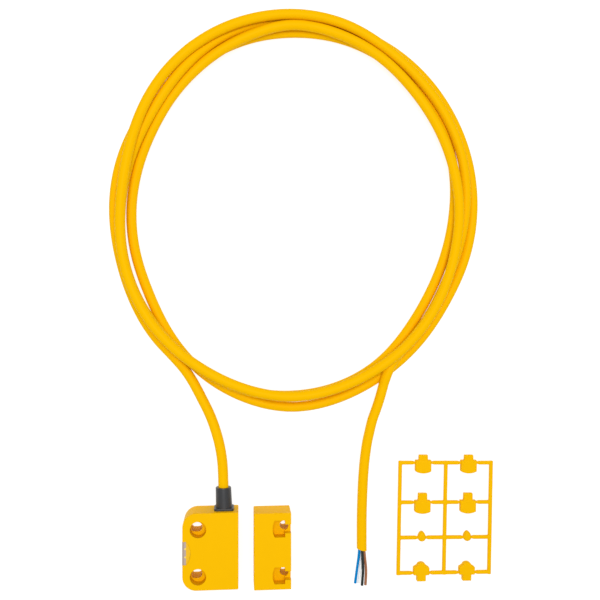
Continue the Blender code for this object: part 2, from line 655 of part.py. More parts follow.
def side_bar(name, x, material=None):
    """Make one of the long bars, which stand a little prouder than the cross bars."""
    half = BAR_WIDTH / 2
    bar = box(name, (x - half, ROW_PLACES[-1] - half, BAR_BOTTOM),
              (x + half, ROW_PLACES[0] + half, BAR_BOTTOM + BAR_WIDTH), material)
    bevel(bar, BAR_EDGE)
    return bar


def cross_bar(row):
    """Make one of the bars that carry the covers."""
    y = ROW_PLACES[row]
    half = BAR_WIDTH / 2
    right = [(COLUMN_PITCH, y - half), (COLUMN_PITCH, y + half)]
    outline = ([(-COLUMN_PITCH, y - half)] + bar_edge(row, -1) + right + bar_edge(row, 1)[::-1]
               + [(-COLUMN_PITCH, y + half)])
    bar = plate("cross_bar_%d" % row, outline, BAR_BOTTOM + CROSS_BAR_DROP,
                BAR_BOTTOM + BAR_WIDTH - CROSS_BAR_DROP)
    bevel(bar, CROSS_BAR_EDGE)
    return bar


def cover_outline(x, y, ear, side_end):
    """Give a cover's outline: straight sides and an arc at the bottom."""
    half = COVER_WIDTH / 2
    turn = math.asin(half / COVER_ARC)
    centre = (x, y + side_end + COVER_ARC * math.cos(turn))
    bottom = arc(centre, COVER_ARC, 1.5 * math.pi - turn, 1.5 * math.pi + turn, COVER_STEPS)
    return bottom + [(x + half, y + ear), (x - half, y + ear)]


def knob_outline(x, y):
    """Give the outline of a cover with a round knob and sloping shoulders."""
    half, knob, stem = COVER_WIDTH / 2, KNOB_WIDTH / 2, ROUND_STEM_WIDTH / 2
    rise = KNOB_TOP - SHOULDER_TOP
    head = [(x + knob * math.cos(a), y + SHOULDER_TOP + rise * math.sin(a))
            for a in (math.pi * i / COVER_STEPS for i in range(COVER_STEPS + 1))]
    return ([(x - stem, y + ROUND_COVER_BOTTOM), (x - stem, y + ROUND_STEM_BOTTOM),
             (x + stem, y + ROUND_STEM_BOTTOM), (x + stem, y + ROUND_COVER_BOTTOM),
             (x + half, y + ROUND_COVER_BOTTOM), (x + half, y + SHOULDER_SIDE)]
            + head + [(x - half, y + SHOULDER_SIDE), (x - half, y + ROUND_COVER_BOTTOM)])


def build_covers():
    """Build the moulded frame with its eight covers as one piece."""
    frame = side_bar("cover_sprue", -COLUMN_PITCH, "yellow_cover")
    join(frame, side_bar("middle_bar", 0.0), side_bar("right_bar", COLUMN_PITCH))
    join(frame, *[cross_bar(row) for row in range(len(ROW_PLACES))])
    for column in (-1, 1):
        x = column * COVER_OFFSET
        for row, stem_width, stem_end, ear, side_end in TALL_COVERS:
            y = ROW_PLACES[row]
            cover = plate("cover_%d_%d" % (row, column), cover_outline(x, y, ear * MM, side_end * MM),
                          0.0, COVER_HEIGHT)
            bevel(cover, COVER_EDGE)
            half = stem_width * MM / 2
            stem = box("stem_%d_%d" % (row, column), (x - half, y, COVER_HEIGHT - STEM_TOP),
                       (x + half, y + stem_end * MM, STEM_TOP))
            bevel(stem, COVER_EDGE)
            join(frame, cover, stem)
        pin_y = ROW_PLACES[2] + PIN_SHIFT
        egg = [(x + PIN_WIDTH / 2 * math.cos(a) * (1 - PIN_TAPER * math.sin(a)), pin_y + PIN_LENGTH / 2 * math.sin(a))
               for a in (2 * math.pi * i / PIN_SIDES for i in range(PIN_SIDES))]
        pin = plate("pin_%d" % column, egg, 0.0, COVER_HEIGHT)
        bevel(pin, COVER_EDGE)
        knob = plate("knob_%d" % column, knob_outline(x, ROW_PLACES[3]), 0.0, COVER_HEIGHT)
        bevel(knob, COVER_EDGE)
        join(frame, pin, knob)
    bpy.context.view_layer.update()
    seen = frame.evaluated_get(bpy.context.evaluated_depsgraph_get())
    mesh = bpy.data.meshes.new_from_object(seen)
    frame.modifiers.clear()
    mesh.transform(frame.matrix_world)
    frame.data = mesh
    frame.location = (SPRUE_X, SPRUE_Y, 0.0)
    frame.rotation_euler.z = SPRUE_TURN


empty_file()
build_sensor_housing()
build_sensor_back()
build_lens()
build_relief()
build_electronics()
build_cable()
build_coil()
build_actuator()
build_covers()
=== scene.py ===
"""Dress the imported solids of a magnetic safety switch: sensor with cable, actuator and covers."""
import logging
import math
from dataclasses import dataclass
from enum import Enum

import bmesh
import bpy
import numpy as np
from mathutils import Matrix


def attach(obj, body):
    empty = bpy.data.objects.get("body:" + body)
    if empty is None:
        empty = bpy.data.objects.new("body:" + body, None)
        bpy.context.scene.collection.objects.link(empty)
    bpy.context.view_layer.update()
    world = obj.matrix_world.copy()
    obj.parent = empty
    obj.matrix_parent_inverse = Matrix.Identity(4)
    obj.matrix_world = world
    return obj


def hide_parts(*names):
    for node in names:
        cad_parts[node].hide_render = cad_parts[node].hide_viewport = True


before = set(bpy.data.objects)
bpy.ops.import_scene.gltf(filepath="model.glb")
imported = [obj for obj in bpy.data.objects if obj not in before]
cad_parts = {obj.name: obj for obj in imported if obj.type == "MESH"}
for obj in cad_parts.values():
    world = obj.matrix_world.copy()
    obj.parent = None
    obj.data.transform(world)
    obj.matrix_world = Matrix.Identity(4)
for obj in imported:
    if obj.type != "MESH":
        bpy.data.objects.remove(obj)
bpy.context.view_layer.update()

LOG = logging.getLogger("safety_switch")
MM = 0.001
BODY = "root"

FIT = 0.05 * MM
OVERCUT = 1.0 * MM
CASE_FOOT = 0.2 * MM
CASE_BEVEL = 0.12 * MM
BEVEL_ANGLE = 38.0
SHARP_ANGLE = 32.0
TUBE_SHARP_ANGLE = 50.0
SPAN_STEPS = 24
CORNER_STEPS = 5
ARC_STEPS = 32
NOISE_ROUGHNESS = 0.55


class Core(Enum):
    """The four cores of the cable, by the colour of their insulation."""

    BLUE = "blue"
    WHITE = "white"
    BLACK = "black"
    BROWN = "brown"


# Node trees


class Value:
    """A number that varies over a surface, with Python's operators for shader maths."""

    def __init__(self, graph: "Graph", socket: bpy.types.NodeSocket) -> None:
        """Wrap a socket of a graph."""
        self.graph = graph
        self.socket = socket

    def _maths(self, operation: str, first: "Value | float", second: "Value | float") -> "Value":
        """Add a Math node that takes two values or numbers."""
        return self.graph.add("ShaderNodeMath", {"operation": operation}, {0: first, 1: second})

    def __add__(self, other: "Value | float") -> "Value":
        """Give the sum."""
        return self._maths("ADD", self, other)

    __radd__ = __add__

    def __sub__(self, other: "Value | float") -> "Value":
        """Give the difference."""
        return self._maths("SUBTRACT", self, other)

    def __rsub__(self, other: "Value | float") -> "Value":
        """Give the difference from a number."""
        return self._maths("SUBTRACT", other, self)

    def __mul__(self, other: "Value | float") -> "Value":
        """Give the product."""
        return self._maths("MULTIPLY", self, other)

    __rmul__ = __mul__

    def __truediv__(self, other: "Value | float") -> "Value":
        """Give the quotient."""
        return self._maths("DIVIDE", self, other)

    def __rtruediv__(self, other: "Value | float") -> "Value":
        """Give the quotient of a number."""
        return self._maths("DIVIDE", other, self)

    def clamped(self) -> "Value":
        """Keep the number between 0 and 1."""
        return self._maths("MINIMUM", self._maths("MAXIMUM", self, 0.0), 1.0)


class Graph:
    """A material's node tree, made with one method for every node."""

    def __init__(self, name: str) -> None:
        """Make an empty material with a Principled shader.

        Args:
            name: the material's name.
        """
        self.material = bpy.data.materials.new(name)
        self.material.use_nodes = True
        self.tree = self.material.node_tree
        self.shader = self.tree.nodes["Principled BSDF"]

    def _link(self, socket: bpy.types.NodeSocket, value: "Value | float | tuple") -> None:
        """Set a socket to a number or colour, or link it to a value.

        Args:
            socket: the input to fill.
            value: a number, a colour or a value of this graph.
        """
        if isinstance(value, Value):
            self.tree.links.new(value.socket, socket)
        elif isinstance(value, tuple) and len(value) == 3 and len(socket.default_value) == 4:
            socket.default_value = (*value, 1.0)
        else:
            socket.default_value = value

    def add(self, kind: str, settings: dict, inputs: dict, output: int | str = 0) -> Value:
        """Add a node.

        Args:
            kind: the node's type.
            settings: attributes of the node, set before its inputs.
            inputs: values, numbers or colours by socket name or number.
            output: name or number of the socket to give.

        Returns:
            The chosen output as a value.
        """
        node = self.tree.nodes.new(kind)
        for name, setting in settings.items():
            setattr(node, name, setting)
        for name, value in inputs.items():
            self._link(node.inputs[name], value)
        return Value(self, node.outputs[output])

    def place(self) -> Value:
        """Give the object coordinates."""
        return self.add("ShaderNodeTexCoord", {}, {}, "Object")

    def along(self) -> Value:
        """Give the piece's own UV map: metres round the piece and along it."""
        return self.add("ShaderNodeUVMap", {"uv_map": "UVMap"}, {}, "UV")

    def stretched(self, source: Value, scale: tuple[float, float, float]) -> Value:
        """Scale coordinates by axis."""
        return self.add("ShaderNodeMapping", {}, {"Vector": source, "Scale": scale})

    def noise(self, source: Value, size: float, detail: float = 3.0) -> Value:
        """Give noise whose features have a size in metres."""
        inputs = {"Vector": source, "Scale": 1.0 / size, "Detail": detail, "Roughness": NOISE_ROUGHNESS}
        return self.add("ShaderNodeTexNoise", {}, inputs, "Fac")

    def ramp(self, source: Value, low: float, high: float) -> Value:
        """Stretch a number so that low becomes 0 and high becomes 1."""
        return ((source - low) / (high - low)).clamped()

    def mix(self, share: Value, first: Value | tuple, second: Value | tuple) -> Value:
        """Blend two colours."""
        settings = {"data_type": "RGBA"}
        return self.add("ShaderNodeMix", settings, {0: share, 6: first, 7: second}, 2)

    def bump(self, height: Value, depth: float) -> Value:
        """Turn a height from 0 to 1 into a bump of a depth in metres."""
        return self.add("ShaderNodeBump", {}, {"Height": height, "Distance": depth, "Strength": 1.0})

    def put(self, **inputs: Value | float | tuple) -> bpy.types.Material:
        """Set or link inputs of the Principled shader, and give the material.

        Args:
            inputs: values, numbers or colours by socket name, with _ for a space.

        Returns:
            The material.
        """
        for name, value in inputs.items():
            self._link(self.shader.inputs[name.replace("_", " ")], value)
        return self.material


@dataclass(frozen=True)
class Moulded:
    """Satin moulded plastic: a fine even grain with faint flow marks and slightly varied gloss."""

    name: str
    colour: tuple[float, float, float]
    shade: tuple[float, float, float]
    roughness: float = 0.42
    gloss: float = 0.03
    grain: float = 0.12 * MM
    grain_depth: float = 0.006 * MM
    flow: float = 6.0 * MM
    flow_share: float = 0.35
    speck_share: float = 0.12

    def make(self) -> bpy.types.Material:
        """Build the material.

        Returns:
            A new material.
        """
        graph = Graph(self.name)
        place = graph.place()
        flow = graph.noise(place, self.flow, 4.0)
        speck = graph.noise(place, self.grain * 6, 2.0)
        grain = graph.noise(place, self.grain, 2.0)
        tone = (graph.ramp(flow, 0.35, 0.7) * self.flow_share
                + graph.ramp(speck, 0.5, 0.75) * self.speck_share)
        return graph.put(
            Base_Color=graph.mix(tone.clamped(), self.colour, self.shade),
            Roughness=self.roughness + (flow - 0.5) * 0.12 + (grain - 0.5) * 0.1,
            Normal=graph.bump(grain * 0.7 + flow * 0.3, self.grain_depth),
            Specular_IOR_Level=self.gloss,
        )


@dataclass(frozen=True)
class Jacket:
    """Extruded cable jacket: fine streaks that run along the cable, and soft patches of gloss."""

    name: str
    colour: tuple[float, float, float]
    shade: tuple[float, float, float]
    roughness: float = 0.4
    gloss: float = 0.015
    streak: float = 0.35 * MM
    streak_stretch: float = 0.04
    patch: float = 14 * MM
    fine: float = 0.15 * MM
    share: float = 0.25
    depth: float = 0.004 * MM

    def make(self) -> bpy.types.Material:
        """Build the material.

        Returns:
            A new material.
        """
        graph = Graph(self.name)
        along = graph.along()
        streak = graph.noise(graph.stretched(along, (1.0, self.streak_stretch, 1.0)), self.streak)
        patch = graph.noise(graph.place(), self.patch)
        fine = graph.noise(graph.place(), self.fine, 2.0)
        tone = (graph.ramp(streak, 0.45, 0.75) + graph.ramp(patch, 0.4, 0.7)) * self.share
        return graph.put(
            Base_Color=graph.mix(tone.clamped(), self.colour, self.shade),
            Roughness=self.roughness + (patch - 0.5) * 0.15 + (streak - 0.5) * 0.08,
            Normal=graph.bump(streak * 0.6 + fine * 0.4, self.depth),
            Specular_IOR_Level=self.gloss,
        )


@dataclass(frozen=True)
class Plain:
    """A small piece's finish: one colour with a slight mottle, and its own gloss."""

    name: str
    colour: tuple[float, float, float]
    shade: tuple[float, float, float]
    roughness: float = 0.4
    gloss: float = 0.3
    metallic: float = 0.0
    size: float = 0.8 * MM
    depth: float = 0.004 * MM
    transmission: float = 0.0

    def make(self) -> bpy.types.Material:
        """Build the material.

        Returns:
            A new material.
        """
        graph = Graph(self.name)
        mottle = graph.noise(graph.place(), self.size)
        return graph.put(
            Base_Color=graph.mix(graph.ramp(mottle, 0.4, 0.65), self.colour, self.shade),
            Roughness=self.roughness + (mottle - 0.5) * 0.15,
            Normal=graph.bump(mottle, self.depth),
            Metallic=self.metallic,
            Transmission_Weight=self.transmission,
            Specular_IOR_Level=self.gloss,
        )


@dataclass(frozen=True)
class ClearWindow:
    """Clear moulded plastic: milky over the light guide at the left edge, with two lit dots in it and
    painted shade along the very edge.
    """

    name: str
    colour: tuple[float, float, float]
    guide: tuple[float, float, float]
    # the colour below and its right end are painted shade: a darker brown band along the window's left edge
    edge_shade: tuple[float, float, float]
    dot: tuple[float, float, float]
    guide_right: float = -11.3 * MM
    edge_shade_right: float = -12.45 * MM
    dot_x: float = -11.6 * MM
    dots_y: tuple[float, float] = (1.7 * MM, -2.15 * MM)
    dot_radius: float = 0.45 * MM
    mottle: float = 0.7 * MM
    stray: float = 0.3 * MM
    depth: float = 0.003 * MM

    def make(self) -> bpy.types.Material:
        """Build the material.

        Returns:
            A new material.
        """
        graph = Graph(self.name)
        place = graph.place()
        x, y = (graph.add("ShaderNodeSeparateXYZ", {}, {"Vector": place}, axis) for axis in "XY")
        mottle = graph.noise(place, self.mottle)
        edge = x + (mottle - 0.5) * self.stray
        guide = graph.ramp(edge, self.guide_right + 0.12 * MM, self.guide_right - 0.12 * MM)
        # painted shade: the band along the left edge, where the edge and the leg below it fall into shade,
        # is darkened
        edge_shade = graph.ramp(edge, self.edge_shade_right + 0.15 * MM, self.edge_shade_right - 0.15 * MM)
        lit = self.dot_at(graph, x, y, self.dots_y[0]) + self.dot_at(graph, x, y, self.dots_y[1])
        board = graph.mix(lit, graph.mix(edge_shade, self.guide, self.edge_shade), self.dot)
        return graph.put(
            Base_Color=graph.mix(guide, self.colour, board),
            Alpha=guide * 0.2 + mottle * 0.08 + 0.72,
            Roughness=mottle * 0.1 + 0.15,
            Normal=graph.bump(mottle, self.depth),
            Specular_IOR_Level=0.2,
        )

    def dot_at(self, graph: Graph, x: Value, y: Value, middle: float) -> Value:
        """Give a soft spot: the squared distance over the squared radius, from 1.5 down to 0.5.

        Args:
            graph: the window's node tree.
            x: the place's X.
            y: the place's Y.
            middle: the spot's middle in Y.

        Returns:
            1 within the spot's radius and 0 outside.
        """
        across, up = x - self.dot_x, y - middle
        square = (across * across + up * up) / self.dot_radius ** 2
        return graph.ramp(square, 1.5, 0.5)


CASE_YELLOW = Moulded("case_yellow", (0.86, 0.465, 0.0), (0.83, 0.445, 0.0))
COVER_YELLOW = Moulded("cover_yellow", (0.86, 0.465, 0.0), (0.82, 0.42, 0.0), 0.4, flow=1.5 * MM)
CABLE_YELLOW = Jacket("cable_yellow", (0.86, 0.465, 0.0), (0.835, 0.445, 0.0))
RELIEF_BLACK = Moulded("relief_black", (0.029, 0.03, 0.033), (0.039, 0.04, 0.045), 0.38, gloss=0.4)
# the window's fourth colour, (0.34, 0.25, 0.17), is painted shade along its left edge
WINDOW_CLEAR = ClearWindow("window_clear", (1.0, 0.58, 0.02), (0.47, 0.37, 0.33), (0.34, 0.25, 0.17),
                           (0.9, 0.68, 0.12))
LIGHT_WHITE = Plain("light_white", (0.9, 0.87, 0.76), (0.8, 0.76, 0.62), 0.3)
RESIN_DARK = Plain("resin_dark", (0.02, 0.02, 0.022), (0.035, 0.035, 0.036), 0.3, size=4 * MM)
BOARD_GREEN = Plain("board_green", (0.02, 0.16, 0.05), (0.015, 0.11, 0.035), 0.35)
REED_GLASS = Plain("reed_glass", (0.75, 0.85, 0.78), (0.68, 0.8, 0.72), 0.08, transmission=0.8)
RESISTOR_DARK = Plain("resistor_dark", (0.03, 0.03, 0.034), (0.05, 0.05, 0.055), 0.45)
MAGNET_GREY = Plain("magnet_grey", (0.06, 0.06, 0.065), (0.085, 0.085, 0.09), 0.55, metallic=0.3)
CORE_FINISHES = {
    Core.BLUE: Plain("core_blue", (0.0, 0.23, 0.58), (0.0, 0.19, 0.49), 0.35, 0.08),
    Core.WHITE: Plain("core_white", (0.9, 0.9, 0.88), (0.82, 0.82, 0.8), 0.35, 0.12),
    Core.BLACK: Plain("core_black", (0.018, 0.025, 0.023), (0.03, 0.038, 0.035), 0.35, 0.15),
    Core.BROWN: Plain("core_brown", (0.38, 0.155, 0.075), (0.32, 0.13, 0.06), 0.35, 0.08),
}


# Surfaces


def new_mesh(name: str, points: np.ndarray, faces: list[list[int]]) -> bpy.types.Mesh:
    """Make a mesh from an array of points and a list of faces.

    Args:
        name: the mesh's name.
        points: an array whose last axis is X, Y and Z.
        faces: lists of point numbers.

    Returns:
        The mesh.
    """
    mesh = bpy.data.meshes.new(name)
    mesh.from_pydata(points.reshape(-1, 3).tolist(), [], faces)
    mesh.validate()
    return mesh


def put_piece(name: str, mesh: bpy.types.Mesh, finish: bpy.types.Material | None = None) -> bpy.types.Object:
    """Put a mesh in the scene at the origin, with its finish.

    Args:
        name: the piece's name.
        mesh: its shape, with its place in it.
        finish: its material, if it has one yet.

    Returns:
        The piece.
    """
    mesh.name = name
    if finish:
        mesh.materials.clear()
        mesh.materials.append(finish)
    piece = bpy.data.objects.new(name, mesh)
    bpy.context.scene.collection.objects.link(piece)
    return piece


def band_faces(rings: int, sides: int) -> list[list[int]]:
    """Give the quads between closed rings of points that follow each other.

    Args:
        rings: how many rings there are.
        sides: how many points a ring has.

    Returns:
        The quads, ring after ring.
    """
    ring, side = np.meshgrid(np.arange(rings - 1), np.arange(sides), indexing="ij")
    following = (side + 1) % sides
    corners = [ring * sides + side, ring * sides + following, (ring + 1) * sides + following,
               (ring + 1) * sides + side]
    return np.stack(corners, -1).reshape(-1, 4).tolist()


def loft(name: str, rings: np.ndarray) -> bpy.types.Mesh:
    """Join closed rings, each against the clock seen from above, from the lowest to the highest.

    Args:
        name: the mesh's name.
        rings: an array of rings by points by 3.

    Returns:
        A closed mesh with a flat face at each end.
    """
    count, sides = rings.shape[:2]
    faces = band_faces(count, sides)
    faces.append(list(range(sides))[::-1])
    faces.append([(count - 1) * sides + i for i in range(sides)])
    return new_mesh(name, rings, faces)


def inset_outline(outline: np.ndarray, inset: float) -> np.ndarray:
    """Move a closed outline in: each corner goes along (n1 + n2) / (1 + n1 . n2) of its sides' normals.

    Args:
        outline: points against the clock.
        inset: how far each side moves in.

    Returns:
        As many points.
    """
    edge = np.roll(outline, -1, 0) - outline
    normal = np.column_stack([-edge[:, 1], edge[:, 0]]) / np.hypot(*edge.T)[:, None]
    before = np.roll(normal, 1, 0)
    turn = 1.0 + (normal * before).sum(1)
    return outline + inset * (normal + before) / turn[:, None]


def rounded_levels(low: float, high: float, under: float, over: float,
                   steps: int = CORNER_STEPS) -> list[tuple[float, float]]:
    """Give (height, inset) pairs up a wall whose lower and upper edges are quarter circles.

    Args:
        low: height of the lower edge.
        high: height of the upper edge.
        under: radius of the lower edge.
        over: radius of the upper edge.
        steps: sides of each quarter circle.

    Returns:
        The pairs from the lowest to the highest.
    """
    turn = np.linspace(0.0, math.pi / 2, steps + 1)
    lower = zip(low + under * (1 - np.cos(turn)), under * (1 - np.sin(turn)))
    upper = zip(high - over * (1 - np.cos(turn[::-1])), over * (1 - np.sin(turn[::-1])))
    return list(lower) + list(upper)


def block(name: str, outline: np.ndarray, levels: list[tuple[float, float]]) -> bpy.types.Mesh:
    """Carry an outline up through (height, inset) levels into a closed body.

    Args:
        name: the mesh's name.
        outline: points against the clock.
        levels: (height, inset) pairs from the lowest to the highest.

    Returns:
        A closed mesh.
    """
    rings = [np.column_stack([inset_outline(outline, inset), np.full(len(outline), height)])
             for height, inset in levels]
    return loft(name, np.array(rings))


def arc(centre: tuple[float, float], radius: float, start: float, end: float, steps: int) -> np.ndarray:
    """Give points on a circle from one angle to another, in degrees."""
    turn = np.radians(np.linspace(start, end, steps + 1))
    return np.column_stack([centre[0] + radius * np.cos(turn), centre[1] + radius * np.sin(turn)])


def circle(centre: tuple[float, float], radius: float, sides: int) -> np.ndarray:
    """Give the corners of a circle with a number of sides."""
    return arc(centre, radius, 0, 360 * (1 - 1 / sides), sides - 1)


def rectangle(left: float, low: float, right: float, high: float) -> np.ndarray:
    """Give a rectangle's corners, against the clock."""
    return np.array([[left, low], [right, low], [right, high], [left, high]])


def rounded_rectangle(half_x: float, half_y: float, corner: float, steps: int) -> np.ndarray:
    """Give a rectangle round the origin whose corners are quarter circles.

    Args:
        half_x: half its width.
        half_y: half its height.
        corner: the corners' radius.
        steps: sides of each quarter circle.

    Returns:
        Points against the clock.
    """
    x, y = half_x - corner, half_y - corner
    corners = ((x, -y, -90), (x, y, 0), (-x, y, 90), (-x, -y, 180))
    return np.vstack([arc((px, py), corner, start, start + 90, steps) for px, py, start in corners])


def finished(name: str, mesh: bpy.types.Mesh, cutters: list[bpy.types.Mesh], joins: list[bpy.types.Mesh],
             edge: float, finish: bpy.types.Material) -> bpy.types.Object:
    """Cut and join bodies, soften the edges that this leaves, and give one piece at the origin.

    Args:
        name: the piece's name.
        mesh: the main body.
        cutters: meshes to cut out of it.
        joins: meshes to join onto it.
        edge: width of the small bevel on every sharp edge.
        finish: the piece's material.

    Returns:
        The piece, with its modifiers applied.
    """
    piece = put_piece(name, mesh, finish)
    helpers = []
    for operation, others in (("UNION", joins), ("DIFFERENCE", cutters)):
        for other in others:
            helper = put_piece(name + "_helper", other)
            helpers.append(helper)
            step = piece.modifiers.new("shape", "BOOLEAN")
            step.object = helper
            step.operation = operation
            step.solver = "EXACT"
    if edge:
        step = piece.modifiers.new("edges", "BEVEL")
        step.width = edge
        step.segments = 2
        step.limit_method = "ANGLE"
        step.angle_limit = math.radians(BEVEL_ANGLE)
        step.use_clamp_overlap = True
    apply_steps(piece)
    for helper in helpers:
        bpy.data.objects.remove(helper, do_unlink=True)
    smooth(piece)
    return piece


def apply_steps(piece: bpy.types.Object) -> None:
    """Turn a piece's modifiers into its mesh.

    Args:
        piece: the piece, changed in place.
    """
    bpy.context.view_layer.update()
    seen = piece.evaluated_get(bpy.context.evaluated_depsgraph_get())
    mesh = bpy.data.meshes.new_from_object(seen)
    piece.modifiers.clear()
    piece.data = mesh
    mesh.name = piece.name


def smooth(piece: bpy.types.Object) -> None:
    """Shade smooth but for sharp edges, with large flat faces kept flat.

    Args:
        piece: the piece, changed in place.
    """
    piece.data.shade_smooth()
    piece.data.set_sharp_from_angle(angle=math.radians(SHARP_ANGLE))
    step = piece.modifiers.new("flat faces", "WEIGHTED_NORMAL")
    step.keep_sharp = True
    step.weight = 90


def settle_piece(piece: bpy.types.Object, slot: str, *nodes: str) -> bpy.types.Object:
    """Tie a piece to the body, and hide the solids that it stands for.

    Args:
        piece: the piece.
        slot: not used.
        nodes: the solids that it stands for, none if it stands for itself.

    Returns:
        The piece.
    """
    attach(piece, BODY)
    if nodes:
        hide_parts(*nodes)
    LOG.info("%s: %d faces, stands for %s", piece.name, len(piece.data.polygons),
             ", ".join(nodes) or "itself")
    return piece


def smooth_route(points: np.ndarray, spacing: float) -> np.ndarray:
    """Give places at even steps along the curve that a stiff cable takes through chosen points.

    Each span is a cubic over its own chord, and the slopes are those that leave no jump in
    the bending: for spans h and k that meet, k s0 + 2 (h + k) s1 + h s2 equals
    3 (k d0 + h d1), where d is a span's change over its chord.

    Args:
        points: the chosen points, one a row.
        spacing: length of a step.

    Returns:
        The places, one a row.
    """
    chord = np.linalg.norm(np.diff(points, axis=0), axis=1)
    change = np.diff(points, axis=0) / chord[:, None]
    before, after = chord[:-1], chord[1:]
    inner = np.arange(1, len(points) - 1)
    matrix = np.zeros((len(points), len(points)))
    matrix[inner, inner - 1], matrix[inner, inner + 1] = after, before
    matrix[inner, inner] = 2 * (before + after)
    matrix[0, :2], matrix[-1, -2:] = (2, 1), (1, 2)
    known = np.vstack([3 * change[:1], 3 * (after[:, None] * change[:-1] + before[:, None] * change[1:]),
                       3 * change[-1:]])
    slope = np.linalg.solve(matrix, known)
    t = np.linspace(0, 1, SPAN_STEPS, endpoint=False)[None, :, None]
    p, q = points[:-1, None], points[1:, None]
    m, n = (chord[:, None] * slope[:-1])[:, None], (chord[:, None] * slope[1:])[:, None]
    dense = (p * (2 * t ** 3 - 3 * t ** 2 + 1) + m * (t ** 3 - 2 * t ** 2 + t)
             + q * (3 * t ** 2 - 2 * t ** 3) + n * (t ** 3 - t ** 2))
    return even_steps(np.vstack([dense.reshape(-1, points.shape[1]), points[-1:]]), spacing)


def even_steps(line: np.ndarray, spacing: float) -> np.ndarray:
    """Place points on a line again at even steps.

    Args:
        line: points along the line.
        spacing: length of a step.

    Returns:
        The new points.
    """
    along = np.r_[0.0, np.cumsum(np.linalg.norm(np.diff(line, axis=0), axis=1))]
    count = int(round(along[-1] / spacing))
    target = np.linspace(0, along[-1], count + 1)
    return np.column_stack([np.interp(target, along, line[:, k]) for k in range(line.shape[1])])


def tube(name: str, path: np.ndarray, radii: np.ndarray, sides: int, finish: bpy.types.Material,
         lean: float = 0.0) -> bpy.types.Object:
    """Carry a circle along a path: point = path + r (side cos a + up sin a).

    Args:
        name: the piece's name.
        path: places along the middle.
        radii: the radius at each place.
        sides: points round the circle.
        finish: the piece's material.
        lean: how far the last ring slants, as its rise along the path over its radius.

    Returns:
        A closed tube with a UV map of metres round it and along it.
    """
    heading = np.gradient(path, axis=0)
    heading /= np.linalg.norm(heading, axis=1)[:, None]
    side = np.cross(heading, (0.0, 0.0, 1.0))
    side /= np.linalg.norm(side, axis=1)[:, None]
    up = np.cross(side, heading)
    turn = np.linspace(0, 2 * math.pi, sides, endpoint=False)
    ring = side[:, None, :] * np.cos(turn)[None, :, None] + up[:, None, :] * np.sin(turn)[None, :, None]
    points = path[:, None, :] + ring * radii[:, None, None]
    points[-1] += heading[-1] * (lean * radii[-1] * np.cos(turn))[:, None]
    count = len(path)
    first, last = count * sides, count * sides + 1
    faces = [quad[::-1] for quad in band_faces(count, sides)]
    faces += [[first, i, (i + 1) % sides] for i in range(sides)]
    faces += [[last, (count - 1) * sides + (i + 1) % sides, (count - 1) * sides + i] for i in range(sides)]
    mesh = new_mesh(name, np.vstack([points.reshape(-1, 3), path[0], points[-1].mean(0)]), faces)
    along = np.r_[0.0, np.cumsum(np.linalg.norm(np.diff(path, axis=0), axis=1))]
    corner = np.empty(len(mesh.loops), dtype=np.int32)
    mesh.loops.foreach_get("vertex_index", corner)
    row = np.minimum(corner // sides, count - 1)
    column = corner % sides
    uv = np.column_stack([np.cos(turn)[column] * radii[row], along[row]])
    mesh.uv_layers.new(name="UVMap").data.foreach_set("uv", uv.ravel())
    mesh.update()
    piece = put_piece(name, mesh, finish)
    piece.data.shade_smooth()
    piece.data.set_sharp_from_angle(angle=math.radians(TUBE_SHARP_ANGLE))
    return piece


# Sub-assemblies


